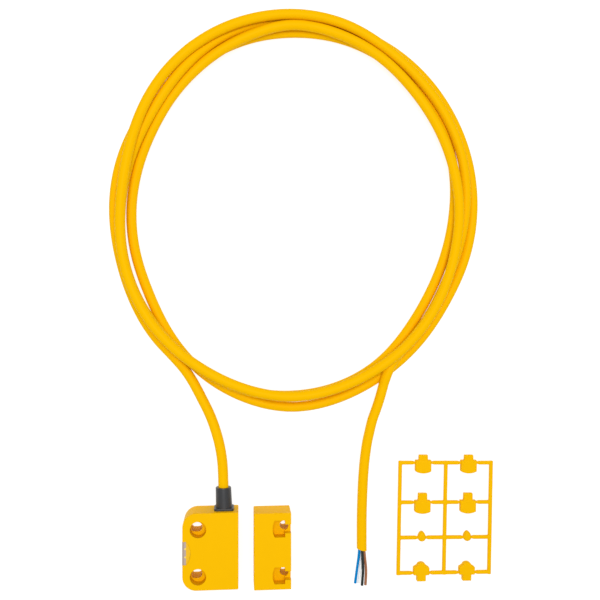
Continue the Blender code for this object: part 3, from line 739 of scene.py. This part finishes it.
@dataclass
class Cable:
    """The cable: lead, nearly four loose turns, tail and four cores.

    The lead and the tail are places in millimetres from where the cable leaves the housing,
    and a turn is its radius in millimetres about the coil's middle, every turn_step degrees
    with the clock from its start. A dip is a stretch that lies under what came before it:
    its start and end in degrees wound, and how many degrees back it reaches.

    The cable falls a little in each of the rounds, and slack is the width of the bell curve
    that smooths its heights. Stretches closer along it than own_length don't lift each other.
    """

    origin: tuple[float, float] = (6.2 * MM, 18.0 * MM)
    diameter: float = 4.8 * MM
    core: float = 1.3 * MM
    middle: tuple[float, float] = (33.3 * MM, 143.0 * MM)
    spacing: float = 2.0 * MM
    sides: int = 32
    slack: float = 14.0 * MM
    fall: float = 0.05 * MM
    rounds: int = 260
    lifts: int = 5
    own_length: float = 40 * MM
    end_lean: float = -0.25
    core_spacing: float = 0.5 * MM
    core_sides: int = 20
    dips: tuple = ((700.0, 842.0, 900.0), (842.0, 858.0, 500.0), (1308.0, 1500.0, 500.0))
    turn_step: float = 15.0
    lead: tuple = ((0.0, -4.8, 6.5), (-0.07, 3.0, 6.5), (-0.3, 10.5, 6.45), (-0.45, 15.0, 6.1),
                   (-0.75, 21.0, 5.2), (-1.6, 27.5, 4.0), (-2.8, 33.0, 3.2), (-4.6, 39.0, 2.6),
                   (-7.1, 45.5, 2.4), (-10.0, 51.4, 2.4), (-15.5, 61.7, 2.4), (-21.3, 69.7, 2.4))
    starts: tuple = (225.0, 255.0, 255.0, 255.0)
    turns: tuple = (
        (90.0, 87.6, 85.7, 85.4, 85.2, 84.7, 84.2, 84.1, 85.4, 86.4, 87.3, 87.2,
         86.1, 84.7, 82.4, 79.8, 78.4, 78.6, 81.1, 85.3, 88.2, 89.6),
        (89.8, 88.3, 86.6, 85.2, 83.5, 81.6, 80.6, 80.5, 82.6, 86.6, 90.0, 91.1,
         91.9, 92.4, 92.1, 91.2, 90.3, 89.3, 88.3, 87.6, 89.0, 91.1, 93.7, 95.4),
        (93.4, 89.5, 84.4, 80.0, 78.2, 77.2, 76.6, 77.0, 79.1, 81.8, 85.1, 87.9,
         87.1, 85.1, 82.6, 81.3, 80.7, 80.6, 80.8, 82.3, 84.2, 85.9, 87.8, 89.3),
        (88.6, 87.3, 86.5, 85.1, 83.0, 81.0, 81.0, 83.6, 86.9, 89.5, 91.4, 92.6,
         92.2, 90.1, 88.6, 87.9, 86.7, 84.7, 82.9, 82.9, 84.9, 91.0))
    tail: tuple = ((76.7, 56.9, 3.3), (74.9, 50.4, 2.7), (73.1, 45.0, 2.4), (71.6, 40.6, 2.4),
                   (70.5, 35.8, 2.4), (69.4, 30.8, 2.4), (68.7, 26.0, 2.4), (68.1, 21.0, 2.4),
                   (67.7, 16.0, 2.4), (67.4, 11.0, 2.4), (67.2, 6.0, 2.4), (67.0, -1.0, 2.4),
                   (66.9, -8.0, 2.4), (66.9, -13.0, 2.4), (66.98, -22.6, 2.4))

    def route(self) -> np.ndarray:
        """Give the chosen points: the lead, a point every 15 degrees round each turn, and the tail.

        Returns:
            The points, one a row, with the least height of each.
        """
        points = [np.array(self.lead) * MM]
        for start, turn in zip(self.starts, self.turns):
            radius = np.array(turn) * MM
            angle = np.radians(start - self.turn_step * np.arange(len(turn)))
            points.append(np.column_stack([self.middle[0] + radius * np.cos(angle),
                                           self.middle[1] + radius * np.sin(angle),
                                           np.full(len(turn), self.diameter / 2)]))
        points.append(np.array(self.tail) * MM)
        return np.vstack(points) + np.array([*self.origin, 0.0])

    def blur(self, height: np.ndarray) -> np.ndarray:
        """Smooth heights along the cable with a bell curve.

        Args:
            height: heights at even steps.

        Returns:
            The smoothed heights.
        """
        reach = int(3 * self.slack / self.spacing)
        step = np.arange(-reach, reach + 1) * self.spacing / self.slack
        weight = np.exp(-0.5 * step ** 2)
        weight /= weight.sum()
        ends = np.r_[2 * height[0] - height[reach:0:-1], height, 2 * height[-1] - height[-2:-reach - 2:-1]]
        return np.convolve(ends, weight, "valid")

    def settle(self, path: np.ndarray) -> np.ndarray:
        """Let the cable down onto the table and onto itself.

        Where two stretches cross in plan, one lies on the other: its middle is at least
        sqrt(d^2 - gap^2) higher. The later stretch is the upper one, but the third turn starts
        under the first two, and the end of the last dips under the third. Heights fall, are
        smoothed as a stiff cable is, and are lifted off the table and what lies below, again
        and again.

        Args:
            path: places along the cable, with the height that carries each.

        Returns:
            The path with its heights at rest.
        """
        plan, floor = path[:, :2], path[:, 2]
        count = len(path)
        gap = ((plan[:, None] - plan[None]) ** 2).sum(-1)
        apart = np.arange(count)[None, :] - np.arange(count)[:, None]
        first, later = np.nonzero((gap < self.diameter ** 2) & (apart * self.spacing > self.own_length))
        rise = np.sqrt(self.diameter ** 2 - gap[first, later])
        from_middle = plan - np.array(self.middle) - np.array(self.origin)
        angle = np.degrees(np.unwrap(np.arctan2(from_middle[:, 1], from_middle[:, 0])))
        wound = angle[0] - angle
        under = np.zeros(len(later), dtype=bool)
        for start, end, reach in self.dips:
            under |= (wound[later] > start) & (wound[later] < end) & (wound[later] - wound[first] < reach)
        upper, lower = np.where(under, first, later), np.where(under, later, first)
        height = floor.copy()
        for _ in range(self.rounds):
            height = np.maximum(self.blur(height) - self.fall, floor)
            for _ in range(self.lifts):
                np.maximum.at(height, upper, height[lower] + rise)
        return np.column_stack([plan, height])

    def build(self) -> None:
        path = self.settle(smooth_route(self.route(), self.spacing))
        cores = [self.core_piece(core) for core in Core]
        radii = np.full(len(path), self.diameter / 2)
        cable = tube("cable", path, radii, self.sides, CABLE_YELLOW.make(), lean=self.end_lean)
        settle_piece(cable, "yellow_cable", "cable_lead", "cable_coil", "cable_tail")

    def core_piece(self, core: Core) -> bpy.types.Object:
        """Make one core, which fans out of the cable's end down to the table.

        Args:
            core: which of the cores.

        Returns:
            The core, tied to its solid.
        """
        points = np.array(CORE_ROUTES[core]) * MM + np.array([*self.origin, 0.0])
        path = smooth_route(points, self.core_spacing)
        piece = tube("cable_core_" + core.value, path, np.full(len(path), self.core / 2), self.core_sides,
                     CORE_FINISHES[core].make())
        return settle_piece(piece, "core_" + core.value, "core_" + core.value)


CORE_ROUTES = {
    Core.BLUE: ((65.83, -22.3, 2.4), (65.55, -26.5, 2.0), (65.2, -29.8, 1.5), (64.65, -34.7, 0.9),
                (64.0, -39.75, 0.75)),
    Core.WHITE: ((66.98, -22.3, 1.25), (66.9, -28.3, 0.95), (66.35, -34.4, 0.72), (65.7, -39.8, 0.7)),
    Core.BLACK: ((66.98, -22.3, 3.55), (67.37, -27.8, 2.8), (67.75, -33.1, 1.75), (67.6, -37.9, 0.95),
                 (67.4, -41.0, 0.7)),
    Core.BROWN: ((68.13, -22.3, 2.4), (68.75, -28.1, 1.9), (69.3, -33.1, 1.2), (69.25, -38.0, 0.8),
                 (69.1, -40.8, 0.7)),
}


@dataclass
class Sensor:
    """The sensor: moulded housing, window and strain relief, about the housing's middle.

    A pocket is its middle in X, radius and floor. A hole is its left, right and half width.
    The window's leg is its depth, half length and foot. The flange is its half width, half
    height, corner and thickness. The sleeve's radii run from the flange to the tip.
    """

    width: float = 26.0 * MM
    length: float = 36.0 * MM
    height: float = 13.0 * MM
    corner: float = 6.5 * MM
    right_corner: float = 0.5 * MM
    edge: float = 0.35 * MM
    wall: float = 1.8 * MM
    pitch: float = 22.0 * MM
    pocket: tuple[float, float, float] = (-5.75 * MM, 3.8 * MM, 8.0 * MM)
    screw_y: float = -0.65 * MM
    hole: tuple[float, float, float] = (-9.1 * MM, -4.0 * MM, 2.2 * MM)
    hole_chamfer: float = 0.8 * MM
    pocket_sides: int = 64
    lens_y: float = -0.45 * MM
    lens_half: float = 5.35 * MM
    lens_depth: float = 3.7 * MM
    lens_straight: float = 1.7 * MM
    lens_plate: float = 1.5 * MM
    leg: tuple[float, float, float] = (1.4 * MM, 4.3 * MM, 6.7 * MM)
    relief_x: float = 6.2 * MM
    relief_lean: float = 0.035
    relief_sides: int = 72
    relief_seat: float = 0.02 * MM
    bore: float = 3.3 * MM
    passage: float = 2.5 * MM
    ring: tuple[float, float, float] = (3.6 * MM, 1.9 * MM, 0.3 * MM)
    neck: float = 3.0 * MM
    flange: tuple[float, float, float, float] = (4.65 * MM, 3.9 * MM, 1.1 * MM, 1.1 * MM)
    sleeve: tuple[float, ...] = (3.86 * MM, 3.85 * MM, 3.66 * MM, 3.57 * MM, 3.35 * MM)
    sleeve_length: float = 10.5 * MM

    def outline(self, wall: float = 0.0) -> np.ndarray:
        """Give the housing's outline, or that of its hollow: wide arcs at the left corners.

        Args:
            wall: how far inside the housing the outline runs.

        Returns:
            Points against the clock.
        """
        left, right, top = wall - self.width / 2, self.width / 2 - wall, self.length / 2 - wall
        wide, small = self.corner - wall, self.right_corner
        return np.vstack([
            arc((right - small, -top + small), small, -90, 0, CORNER_STEPS),
            arc((right - small, top - small), small, 0, 90, CORNER_STEPS),
            arc((left + wide, top - wide), wide, 90, 180, ARC_STEPS),
            arc((left + wide, -top + wide), wide, 180, 270, ARC_STEPS)])

    def boss(self, sign: int, grow: float) -> np.ndarray:
        """Give a circle round a screw pocket, grown by a width."""
        x, radius, _ = self.pocket
        return circle((x, self.screw_y + sign * self.pitch / 2), radius + grow, self.pocket_sides)

    def hole_outline(self, sign: int) -> np.ndarray:
        """Give the slot's outline: flat with cut corners at the left, round at the right.

        Args:
            sign: 1 for the upper slot, -1 for the lower.

        Returns:
            Points against the clock.
        """
        left, right, half = self.hole
        y, cut = self.screw_y + sign * self.pitch / 2, self.hole_chamfer
        start = np.array([[left, y + half - cut], [left, y - half + cut], [left + cut, y - half]])
        return np.vstack([start, arc((right - half, y), half, -90, 90, 20), [[left + cut, y + half]]])

    def lens_outline(self, grow: float, reach: float = 0.0) -> np.ndarray:
        """Give the window's outline: straight sides from the left side, an arc inside them.

        Args:
            grow: how much wider than the window it is.
            reach: how far past the housing's side it runs.

        Returns:
            Points against the clock.
        """
        rise = self.lens_depth - self.lens_straight
        radius = (self.lens_half ** 2 + rise ** 2) / (2 * rise)
        left = -self.width / 2
        middle = left + self.lens_depth - radius
        turn = math.degrees(math.asin(self.lens_half / radius))
        outline = arc((middle, self.lens_y), radius + grow, -turn, turn, ARC_STEPS)
        return np.vstack([[left - reach, outline[0, 1]], outline, [left - reach, outline[-1, 1]]])

    def housing(self) -> bpy.types.Object:
        """Make the housing, hollow from the back, with its pockets, slots, window and bore.

        Returns:
            The housing.
        """
        body = block("housing", self.outline(), rounded_levels(0, self.height, CASE_FOOT, self.edge))
        hollow = block("hollow", self.outline(self.wall), [(-OVERCUT, 0), (self.height - self.wall, 0)])
        bosses = [block("boss", self.boss(sign, self.wall), [(-2 * OVERCUT, 0), (self.height, 0)])
                  for sign in (1, -1)]
        inner = finished("hollow", hollow, bosses, [], 0.0, shared_case_yellow())
        cutters = [inner.data.copy()]
        bpy.data.objects.remove(inner, do_unlink=True)
        floor, top = self.pocket[2], self.height + OVERCUT
        for sign in (1, -1):
            cutters.append(block("pocket", self.boss(sign, 0.0), [(floor, 0), (top, 0)]))
            cutters.append(block("hole", self.hole_outline(sign), [(-OVERCUT, 0), (floor + OVERCUT, 0)]))
        seat = self.height - self.lens_plate - FIT
        cutters.append(block("recess", self.lens_outline(FIT, OVERCUT), [(seat, 0), (top, 0)]))
        depth, half, low = self.leg
        left = -self.width / 2
        slot = rectangle(left - OVERCUT, self.lens_y - half, left + depth + FIT, self.lens_y + half)
        cutters.append(block("slot", slot, [(low - FIT, 0), (seat + OVERCUT / 2, 0)]))
        end = self.length / 2
        cutters.append(self.along_relief(self.bore, end - self.wall - OVERCUT, end + OVERCUT))
        return finished("sensor_case", body, cutters, [], CASE_BEVEL, shared_case_yellow())

    def along_relief(self, radius: float, start: float, end: float) -> bpy.types.Mesh:
        """Make a round body on the strain relief's axis."""
        return self.turned("round", np.array([[radius, start], [radius, end]]))

    def turned(self, name: str, profile: np.ndarray) -> bpy.types.Mesh:
        """Turn a profile about the strain relief's axis: x = r cos a, z = -r sin a, y as it is.

        Args:
            name: the mesh's name.
            profile: rows of radius and place along Y.

        Returns:
            A closed mesh.
        """
        turn = np.linspace(0, 2 * math.pi, self.relief_sides, endpoint=False)
        radius, along = profile[:, 0][:, None], profile[:, 1][:, None]
        x = self.relief_x + radius * np.cos(turn)
        z = self.height / 2 - radius * np.sin(turn)
        return loft(name, np.stack([x, np.broadcast_to(along, x.shape), z], -1))

    def relief(self) -> bpy.types.Object:
        """Make the strain relief: a tapered sleeve, a flange on the wall, a neck and a ring inside.

        Returns:
            The strain relief.
        """
        wall, tip = self.length / 2, self.length / 2 + self.sleeve_length
        ring_radius, ring_depth, ring_gap = self.ring
        half_x, half_z, corner, thickness = self.flange
        ring = wall - self.wall - ring_gap
        seat = wall + self.relief_seat
        face, inside = seat + thickness, seat + 0.4 * MM
        along = (inside, face, tip - 0.35 * MM, tip - 0.1 * MM, tip)
        body = self.turned("relief", np.array([
            (ring_radius, ring - ring_depth), (ring_radius, ring), (self.neck, ring), (self.neck, inside),
            *zip(self.sleeve, along)]))
        outline = rounded_rectangle(half_x, half_z, corner, 8)
        rings = []
        for place, inset in rounded_levels(seat, face, 0.1 * MM, 0.25 * MM, 3):
            edge = inset_outline(outline, inset)[::-1]
            rings.append(np.column_stack([self.relief_x + edge[:, 0], np.full(len(edge), place),
                                          self.height / 2 + edge[:, 1]]))
        flange = loft("flange", np.array(rings))
        passage = self.along_relief(self.passage, ring - 3 * MM, tip + OVERCUT)
        sleeve = finished("strain_relief_sleeve", body, [passage], [flange], 0.0, RELIEF_BLACK.make())
        spots = np.empty(len(sleeve.data.vertices) * 3)
        sleeve.data.vertices.foreach_get("co", spots)
        spots = spots.reshape(-1, 3)
        spots[:, 0] -= self.relief_lean * np.maximum(spots[:, 1] - face, 0.0)
        sleeve.data.vertices.foreach_set("co", spots.ravel())
        return sleeve

    def window(self) -> bpy.types.Object:
        """Make the clear window: a thin plate level with the front, and a leg down the side.

        Returns:
            The window.
        """
        plate = block("plate", self.lens_outline(0.0),
                      rounded_levels(self.height - self.lens_plate, self.height, FIT, CASE_BEVEL, 3))
        depth, half, low = self.leg
        left = -self.width / 2
        foot = rectangle(left, self.lens_y - half + FIT, left + depth, self.lens_y + half - FIT)
        leg = block("leg", foot, [(low, 0), (self.height - self.lens_plate / 2, 0)])
        return finished("window", plate, [], [leg], 0.0, WINDOW_CLEAR.make())

    def build(self) -> None:
        """Make every piece of the sensor."""
        settle_piece(self.housing(), "yellow_case", "sensor_housing")
        settle_piece(self.relief(), "black_relief", "strain_relief")
        settle_piece(self.window(), "clear_lens", "led_lens")


@dataclass
class Actuator:
    """The actuator: moulded housing with two screw pockets that open to the right.

    A hole is its place from the screw pocket's, in X and Y, and its radius.
    """

    middle: tuple[float, float] = (29.05 * MM, -0.8 * MM)
    width: float = 17.5 * MM
    length: float = 36.0 * MM
    height: float = 13.0 * MM
    corner: float = 0.4 * MM
    edge: float = 0.35 * MM
    wall: float = 1.6 * MM
    front_wall: float = 1.8 * MM
    pitch: float = 22.0 * MM
    floor: float = 8.0 * MM
    screw_y: float = -0.42 * MM
    pocket_right: float = 5.89 * MM
    pocket_half: float = 3.95 * MM
    pocket_arc: float = 8.6 * MM
    channel: float = 4.2 * MM
    channel_floor: float = 9.5 * MM
    hole: tuple[float, float, float] = (5.6 * MM, 0.4 * MM, 2.0 * MM)
    hole_sides: int = 48

    def outline(self) -> np.ndarray:
        """Give the housing's outline: a rectangle with small round corners."""
        shape = rounded_rectangle(self.width / 2, self.length / 2, self.corner, CORNER_STEPS)
        return shape + np.array(self.middle)

    def screw(self, sign: int) -> tuple[float, float]:
        """Give the place from which a screw pocket is measured."""
        return self.middle[0], self.middle[1] + self.screw_y + sign * self.pitch / 2

    def pocket(self, sign: int) -> np.ndarray:
        """Give a screw pocket's outline: straight sides and an arc that bulges to the left.

        Args:
            sign: 1 for the upper pocket, -1 for the lower.

        Returns:
            Points against the clock.
        """
        x, y = self.screw(sign)
        turn = math.degrees(math.asin(self.pocket_half / self.pocket_arc))
        left = arc((x + self.pocket_arc, y), self.pocket_arc, 180 - turn, 180 + turn, 24)
        right = x + self.pocket_right
        return np.vstack([left, [[right, y - self.pocket_half], [right, y + self.pocket_half]]])

    def hollow(self) -> np.ndarray:
        """Give the outline of the space behind the front, round both pockets' walls.

        Returns:
            Points against the clock.
        """
        left, right = self.wall - self.width / 2, self.width / 2 - self.wall
        end = self.length / 2 - self.wall
        middle = self.pitch / 2 - self.pocket_half - self.wall
        lower, upper = self.screw_y - middle, self.screw_y + middle
        points = ((left, -end), (-self.wall, -end), (-self.wall, lower), (right, lower),
                  (right, upper), (-self.wall, upper), (-self.wall, end), (left, end))
        return np.array(points) + np.array(self.middle)

    def build(self) -> None:
        """Make the housing."""
        body = block("actuator", self.outline(), rounded_levels(0, self.height, CASE_FOOT, self.edge))
        cutters = [block("hollow", self.hollow(), [(-OVERCUT, 0), (self.height - self.front_wall, 0)])]
        hole_x, rise, radius = self.hole
        half = self.channel / 2
        for sign in (1, -1):
            x, y = self.screw(sign)
            cutters.append(block("pocket", self.pocket(sign), [(self.floor, 0), (self.height + OVERCUT, 0)]))
            channel = rectangle(x + self.pocket_right - OVERCUT, y - half,
                                x + self.width / 2 + OVERCUT, y + half)
            cutters.append(block("channel", channel,
                                 [(self.channel_floor, 0), (self.height + 2 * OVERCUT, 0)]))
            cutters.append(block("hole", circle((x + hole_x, y + rise), radius, self.hole_sides),
                                 [(-OVERCUT, 0), (self.channel_floor + OVERCUT, 0)]))
        piece = finished("actuator_case", body, cutters, [], CASE_BEVEL, shared_case_yellow())
        settle_piece(piece, "yellow_case", "actuator_housing")


@dataclass(frozen=True)
class TallCover:
    """A cover with a stem: the stem's width and end, and the ears and sides, from its bar."""

    stem: float
    top: float
    ear: float
    side: float


@dataclass
class Covers:
    """The moulded frame of bars that holds eight screw-hole covers.

    Rows are the bars' middles from the top, and the reach is half the width of a row's covers.
    """

    middle: tuple[float, float] = (115.01 * MM, 9.0 * MM)
    turn: float = -1.1
    bar: float = 1.85 * MM
    gate: float = 1.0 * MM
    gate_length: float = 1.5 * MM
    low: float = 0.6 * MM
    pitch: float = 23.0 * MM
    column: float = 11.5 * MM
    rows: tuple[float, ...] = (27.8 * MM, 8.2 * MM, -9.2 * MM, -26.65 * MM)
    reach: tuple[float, ...] = (3.95 * MM, 3.95 * MM, 1.7 * MM, 3.95 * MM)
    height: float = 3.0 * MM
    half: float = 3.95 * MM
    arc_radius: float = 8.6 * MM
    edge: float = 0.4 * MM
    low_edge: float = 0.3 * MM
    voxel: float = 0.2 * MM
    rod_rings: int = 40
    rod_sides: int = 24
    squareness: float = 0.7
    tall: tuple[TallCover, TallCover] = (TallCover(4.7 * MM, 3.9 * MM, 1.3 * MM, -4.2 * MM),
                                         TallCover(4.7 * MM, 4.6 * MM, 1.0 * MM, -4.5 * MM))
    pin_half: tuple[float, float] = (1.95 * MM, 2.5 * MM)
    pin_rise: float = 0.6 * MM
    pin_taper: float = 0.2

    def rod(self, start: tuple[float, float], end: tuple[float, float], stops: tuple) -> bpy.types.Mesh:
        """Carry a soft square from end to end: half its width times sign(t) |t|^0.7 of sine and cosine.

        Args:
            start: one end in X and Y.
            end: the other end.
            stops: (share of the length, width) pairs.

        Returns:
            A closed mesh.
        """
        shares, widths = np.array(stops).T
        share = np.unique(np.r_[np.linspace(0, 1, self.rod_rings), shares])
        width = np.interp(share, shares, widths)
        a, b = np.array(start), np.array(end)
        heading = (b - a) / np.linalg.norm(b - a)
        side = np.array([heading[1], -heading[0]])
        turn = np.linspace(0, 2 * math.pi, self.rod_sides, endpoint=False)
        across = np.sign(np.cos(turn)) * np.abs(np.cos(turn)) ** self.squareness
        up = np.sign(np.sin(turn)) * np.abs(np.sin(turn)) ** self.squareness
        middle = a + share[:, None] * (b - a)
        half = width[:, None] / 2
        x = middle[:, 0][:, None] + side[0] * half * across
        y = middle[:, 1][:, None] + side[1] * half * across
        z = self.low + self.bar / 2 + half * up
        return loft("bar", np.stack([x, y, z], -1)[:, ::-1])

    def cross_bar(self, row: int) -> bpy.types.Mesh:
        """Make a bar across, thin beside its covers.

        Args:
            row: the bar's number, from the top.

        Returns:
            A closed mesh.
        """
        y, reach = self.rows[row], self.reach[row]
        length = 2 * self.pitch
        stops = [(0.0, self.bar)]
        for x in (-self.column, self.column):
            places = (x - reach - self.gate_length, x - reach, x + reach, x + reach + self.gate_length)
            widths = (self.bar, self.gate, self.gate, self.bar)
            stops += [((place + self.pitch) / length, width) for place, width in zip(places, widths)]
        stops.append((1.0, self.bar))
        return self.rod((-self.pitch, y), (self.pitch, y), tuple(stops))

    def tall_cover(self, x: float, y: float, form: TallCover) -> list[bpy.types.Mesh]:
        """Make a cover with straight sides, an arc at its lower end and a stem at its upper one.

        Args:
            x: the cover's middle.
            y: the bar's middle.
            form: the cover's sizes.

        Returns:
            Two closed meshes, the cover and its stem.
        """
        turn = math.asin(self.half / self.arc_radius)
        centre = (x, y + form.side + self.arc_radius * math.cos(turn))
        bottom = arc(centre, self.arc_radius, 270 - math.degrees(turn), 270 + math.degrees(turn), 16)
        outline = np.vstack([bottom, [[x + self.half, y + form.ear], [x - self.half, y + form.ear]]])
        wide, narrow = form.stem / 2, form.stem / 2 * 0.94
        top = y + form.top
        neck = np.array([[x - wide, y], [x + wide, y], [x + narrow, top], [x - narrow, top]])
        return [block("cover", outline, rounded_levels(0, self.height, self.low_edge, self.edge)),
                block("stem", neck, rounded_levels(0.4 * MM, 2.6 * MM, self.low_edge, self.edge))]

    def knob_cover(self, x: float, y: float) -> bpy.types.Mesh:
        """Make a cover with a round knob, sloping shoulders and a stem at its lower end.

        Args:
            x: the cover's middle.
            y: the bar's middle.

        Returns:
            A closed mesh.
        """
        knob, stem = 2.1 * MM, 2.2 * MM
        low, foot, side, shoulder, top = -0.9 * MM, -3.9 * MM, 2.8 * MM, 3.9 * MM, 5.3 * MM
        head = arc((x, 0.0), knob, 0, 180, 16)
        head[:, 1] = y + shoulder + head[:, 1] * (top - shoulder) / knob
        points = np.vstack([
            [[x - stem, y + low], [x - stem, y + foot], [x + stem, y + foot], [x + stem, y + low],
             [x + self.half, y + low], [x + self.half, y + side]],
            head, [[x - self.half, y + side], [x - self.half, y + low]]])
        return block("knob", points, rounded_levels(0, self.height, self.low_edge, self.edge))

    def pin(self, x: float, y: float) -> bpy.types.Mesh:
        """Make an egg-shaped pin: an ellipse whose width shrinks by a share of the sine.

        Args:
            x: the pin's middle.
            y: the bar's middle.

        Returns:
            A closed mesh.
        """
        turn = np.linspace(0, 2 * math.pi, ARC_STEPS, endpoint=False)
        half_x, half_y = self.pin_half
        across = half_x * np.cos(turn) * (1 - self.pin_taper * np.sin(turn))
        outline = np.column_stack([x + across, y + self.pin_rise + half_y * np.sin(turn)])
        return block("pin", outline, rounded_levels(0, self.height, 0.5 * MM, 1.2 * MM))

    def build(self) -> None:
        """Make the bars and covers as one body with soft inner corners."""
        parts = [self.cross_bar(row) for row in range(len(self.rows))]
        half = self.bar / 2
        for x in (-self.pitch, 0.0, self.pitch):
            parts.append(self.rod((x, self.rows[-1] - half), (x, self.rows[0] + half),
                                  ((0.0, self.bar), (1.0, self.bar))))
        for x in (-self.column, self.column):
            for y, form in zip(self.rows, self.tall):
                parts += self.tall_cover(x, y, form)
            parts += [self.pin(x, self.rows[2]), self.knob_cover(x, self.rows[3])]
        whole = bmesh.new()
        for part in parts:
            whole.from_mesh(part)
        bmesh.ops.recalc_face_normals(whole, faces=whole.faces)
        mesh = bpy.data.meshes.new("covers")
        whole.to_mesh(mesh)
        whole.free()
        turn = Matrix.Rotation(math.radians(self.turn), 4, "Z")
        mesh.transform(Matrix.Translation((*self.middle, 0.0)) @ turn)
        piece = put_piece("covers", mesh, COVER_YELLOW.make())
        step = piece.modifiers.new("one body", "REMESH")
        step.mode = "VOXEL"
        step.voxel_size = self.voxel
        step = piece.modifiers.new("soft corners", "SMOOTH")
        step.factor = 0.5
        step.iterations = 3
        apply_steps(piece)
        piece.data.shade_smooth()
        settle_piece(piece, "yellow_cover", "cover_sprue")


@dataclass
class Studio:
    """Camera, floor and light.

    The focal length, the picture's side and the distance from its middle to the point straight
    below the camera are in pixels of the photograph.
    """

    place: tuple[float, float, float] = (13.75 * MM, 117.485 * MM, 344.5 * MM)
    focal: float = 706.0
    side: float = 600.0
    below: float = 60.0
    film: float = 36.0
    floor_half: float = 3.0
    floor_tone: tuple[float, float, float] = (0.3, 0.3, 0.3)
    floor_glow: float = 0.8
    all_round: float = 0.6
    light_side: float = 0.35
    light_energy: float = 3.5
    light_place: tuple[float, float, float] = (0.02, 0.2, 0.75)
    light_turn: float = -6.0

    def camera(self) -> None:
        """Set the camera over the table, looking down and leaning towards +X."""
        data = bpy.data.cameras.new("camera")
        data.sensor_width = self.film
        data.lens = self.focal / self.side * self.film
        data.clip_start = 0.01
        data.clip_end = 20.0
        camera = bpy.data.objects.new("camera", data)
        turn = Matrix.Rotation(-math.atan(self.below / self.focal), 4, "Y")
        camera.matrix_world = Matrix.Translation(self.place) @ turn
        bpy.context.scene.collection.objects.link(camera)
        bpy.context.scene.camera = camera

    def floor(self) -> None:
        """Lay a plain pale floor that gives off part of its own light, so that it stays white."""
        corners = rectangle(-self.floor_half, -self.floor_half, self.floor_half, self.floor_half)
        finish = Graph("floor_white").put(
            Base_Color=self.floor_tone, Roughness=0.9, Specular_IOR_Level=0.1,
            Emission_Color=(1.0, 1.0, 1.0), Emission_Strength=self.floor_glow)
        mesh = new_mesh("floor", np.column_stack([corners, np.zeros(len(corners))]), [[0, 1, 2, 3]])
        put_piece("floor", mesh, finish)

    def lights(self) -> None:
        """Light the table softly and evenly from all round, a little more from above."""
        bpy.context.scene.view_settings.view_transform = "Standard"
        world = bpy.data.worlds.new("studio")
        bpy.context.scene.world = world
        world.use_nodes = True
        world.node_tree.nodes["Background"].inputs["Color"].default_value = (1.0, 1.0, 1.0, 1.0)
        world.node_tree.nodes["Background"].inputs["Strength"].default_value = self.all_round
        data = bpy.data.lights.new("overhead", "AREA")
        data.shape = "SQUARE"
        data.size = self.light_side
        data.energy = self.light_energy
        light = bpy.data.objects.new("overhead", data)
        light.location = self.light_place
        light.rotation_euler = (math.radians(self.light_turn), 0.0, 0.0)
        bpy.context.scene.collection.objects.link(light)


CAD_FINISHES = {
    "sensor_back_fill": RESIN_DARK, "actuator_back_fill": RESIN_DARK, "sensor_board": BOARD_GREEN,
    "reed_switch_1": REED_GLASS, "reed_switch_2": REED_GLASS, "status_led_1": LIGHT_WHITE,
    "status_led_2": LIGHT_WHITE, "resistor_1": RESISTOR_DARK, "resistor_2": RESISTOR_DARK,
    "actuator_magnet_1": MAGNET_GREY, "actuator_magnet_2": MAGNET_GREY,
    "inner_lead_blue": CORE_FINISHES[Core.BLUE], "inner_lead_white": CORE_FINISHES[Core.WHITE],
    "inner_lead_black": CORE_FINISHES[Core.BLACK], "inner_lead_brown": CORE_FINISHES[Core.BROWN],
}


def dress_solids() -> None:
    """Give every solid that still shows its finish."""
    made = {}
    for name, finish in CAD_FINISHES.items():
        if finish.name not in made:
            made[finish.name] = finish.make()
        for material_slot in bpy.data.objects[name].material_slots:
            material_slot.material = made[finish.name]
        LOG.info("%s: %s", name, finish.name)


def shared_case_yellow() -> bpy.types.Material:
    """Give the housings' shared material."""
    found = bpy.data.materials.get(CASE_YELLOW.name)
    return found or CASE_YELLOW.make()


def main() -> None:
    """Build the camera and the cable first, then every other piece."""
    logging.basicConfig(level=logging.INFO, format="%(name)s: %(message)s")
    studio = Studio()
    studio.camera()
    Cable().build()
    Sensor().build()
    Actuator().build()
    Covers().build()
    dress_solids()
    studio.floor()
    studio.lights()


if __name__ == "__main__":
    main()
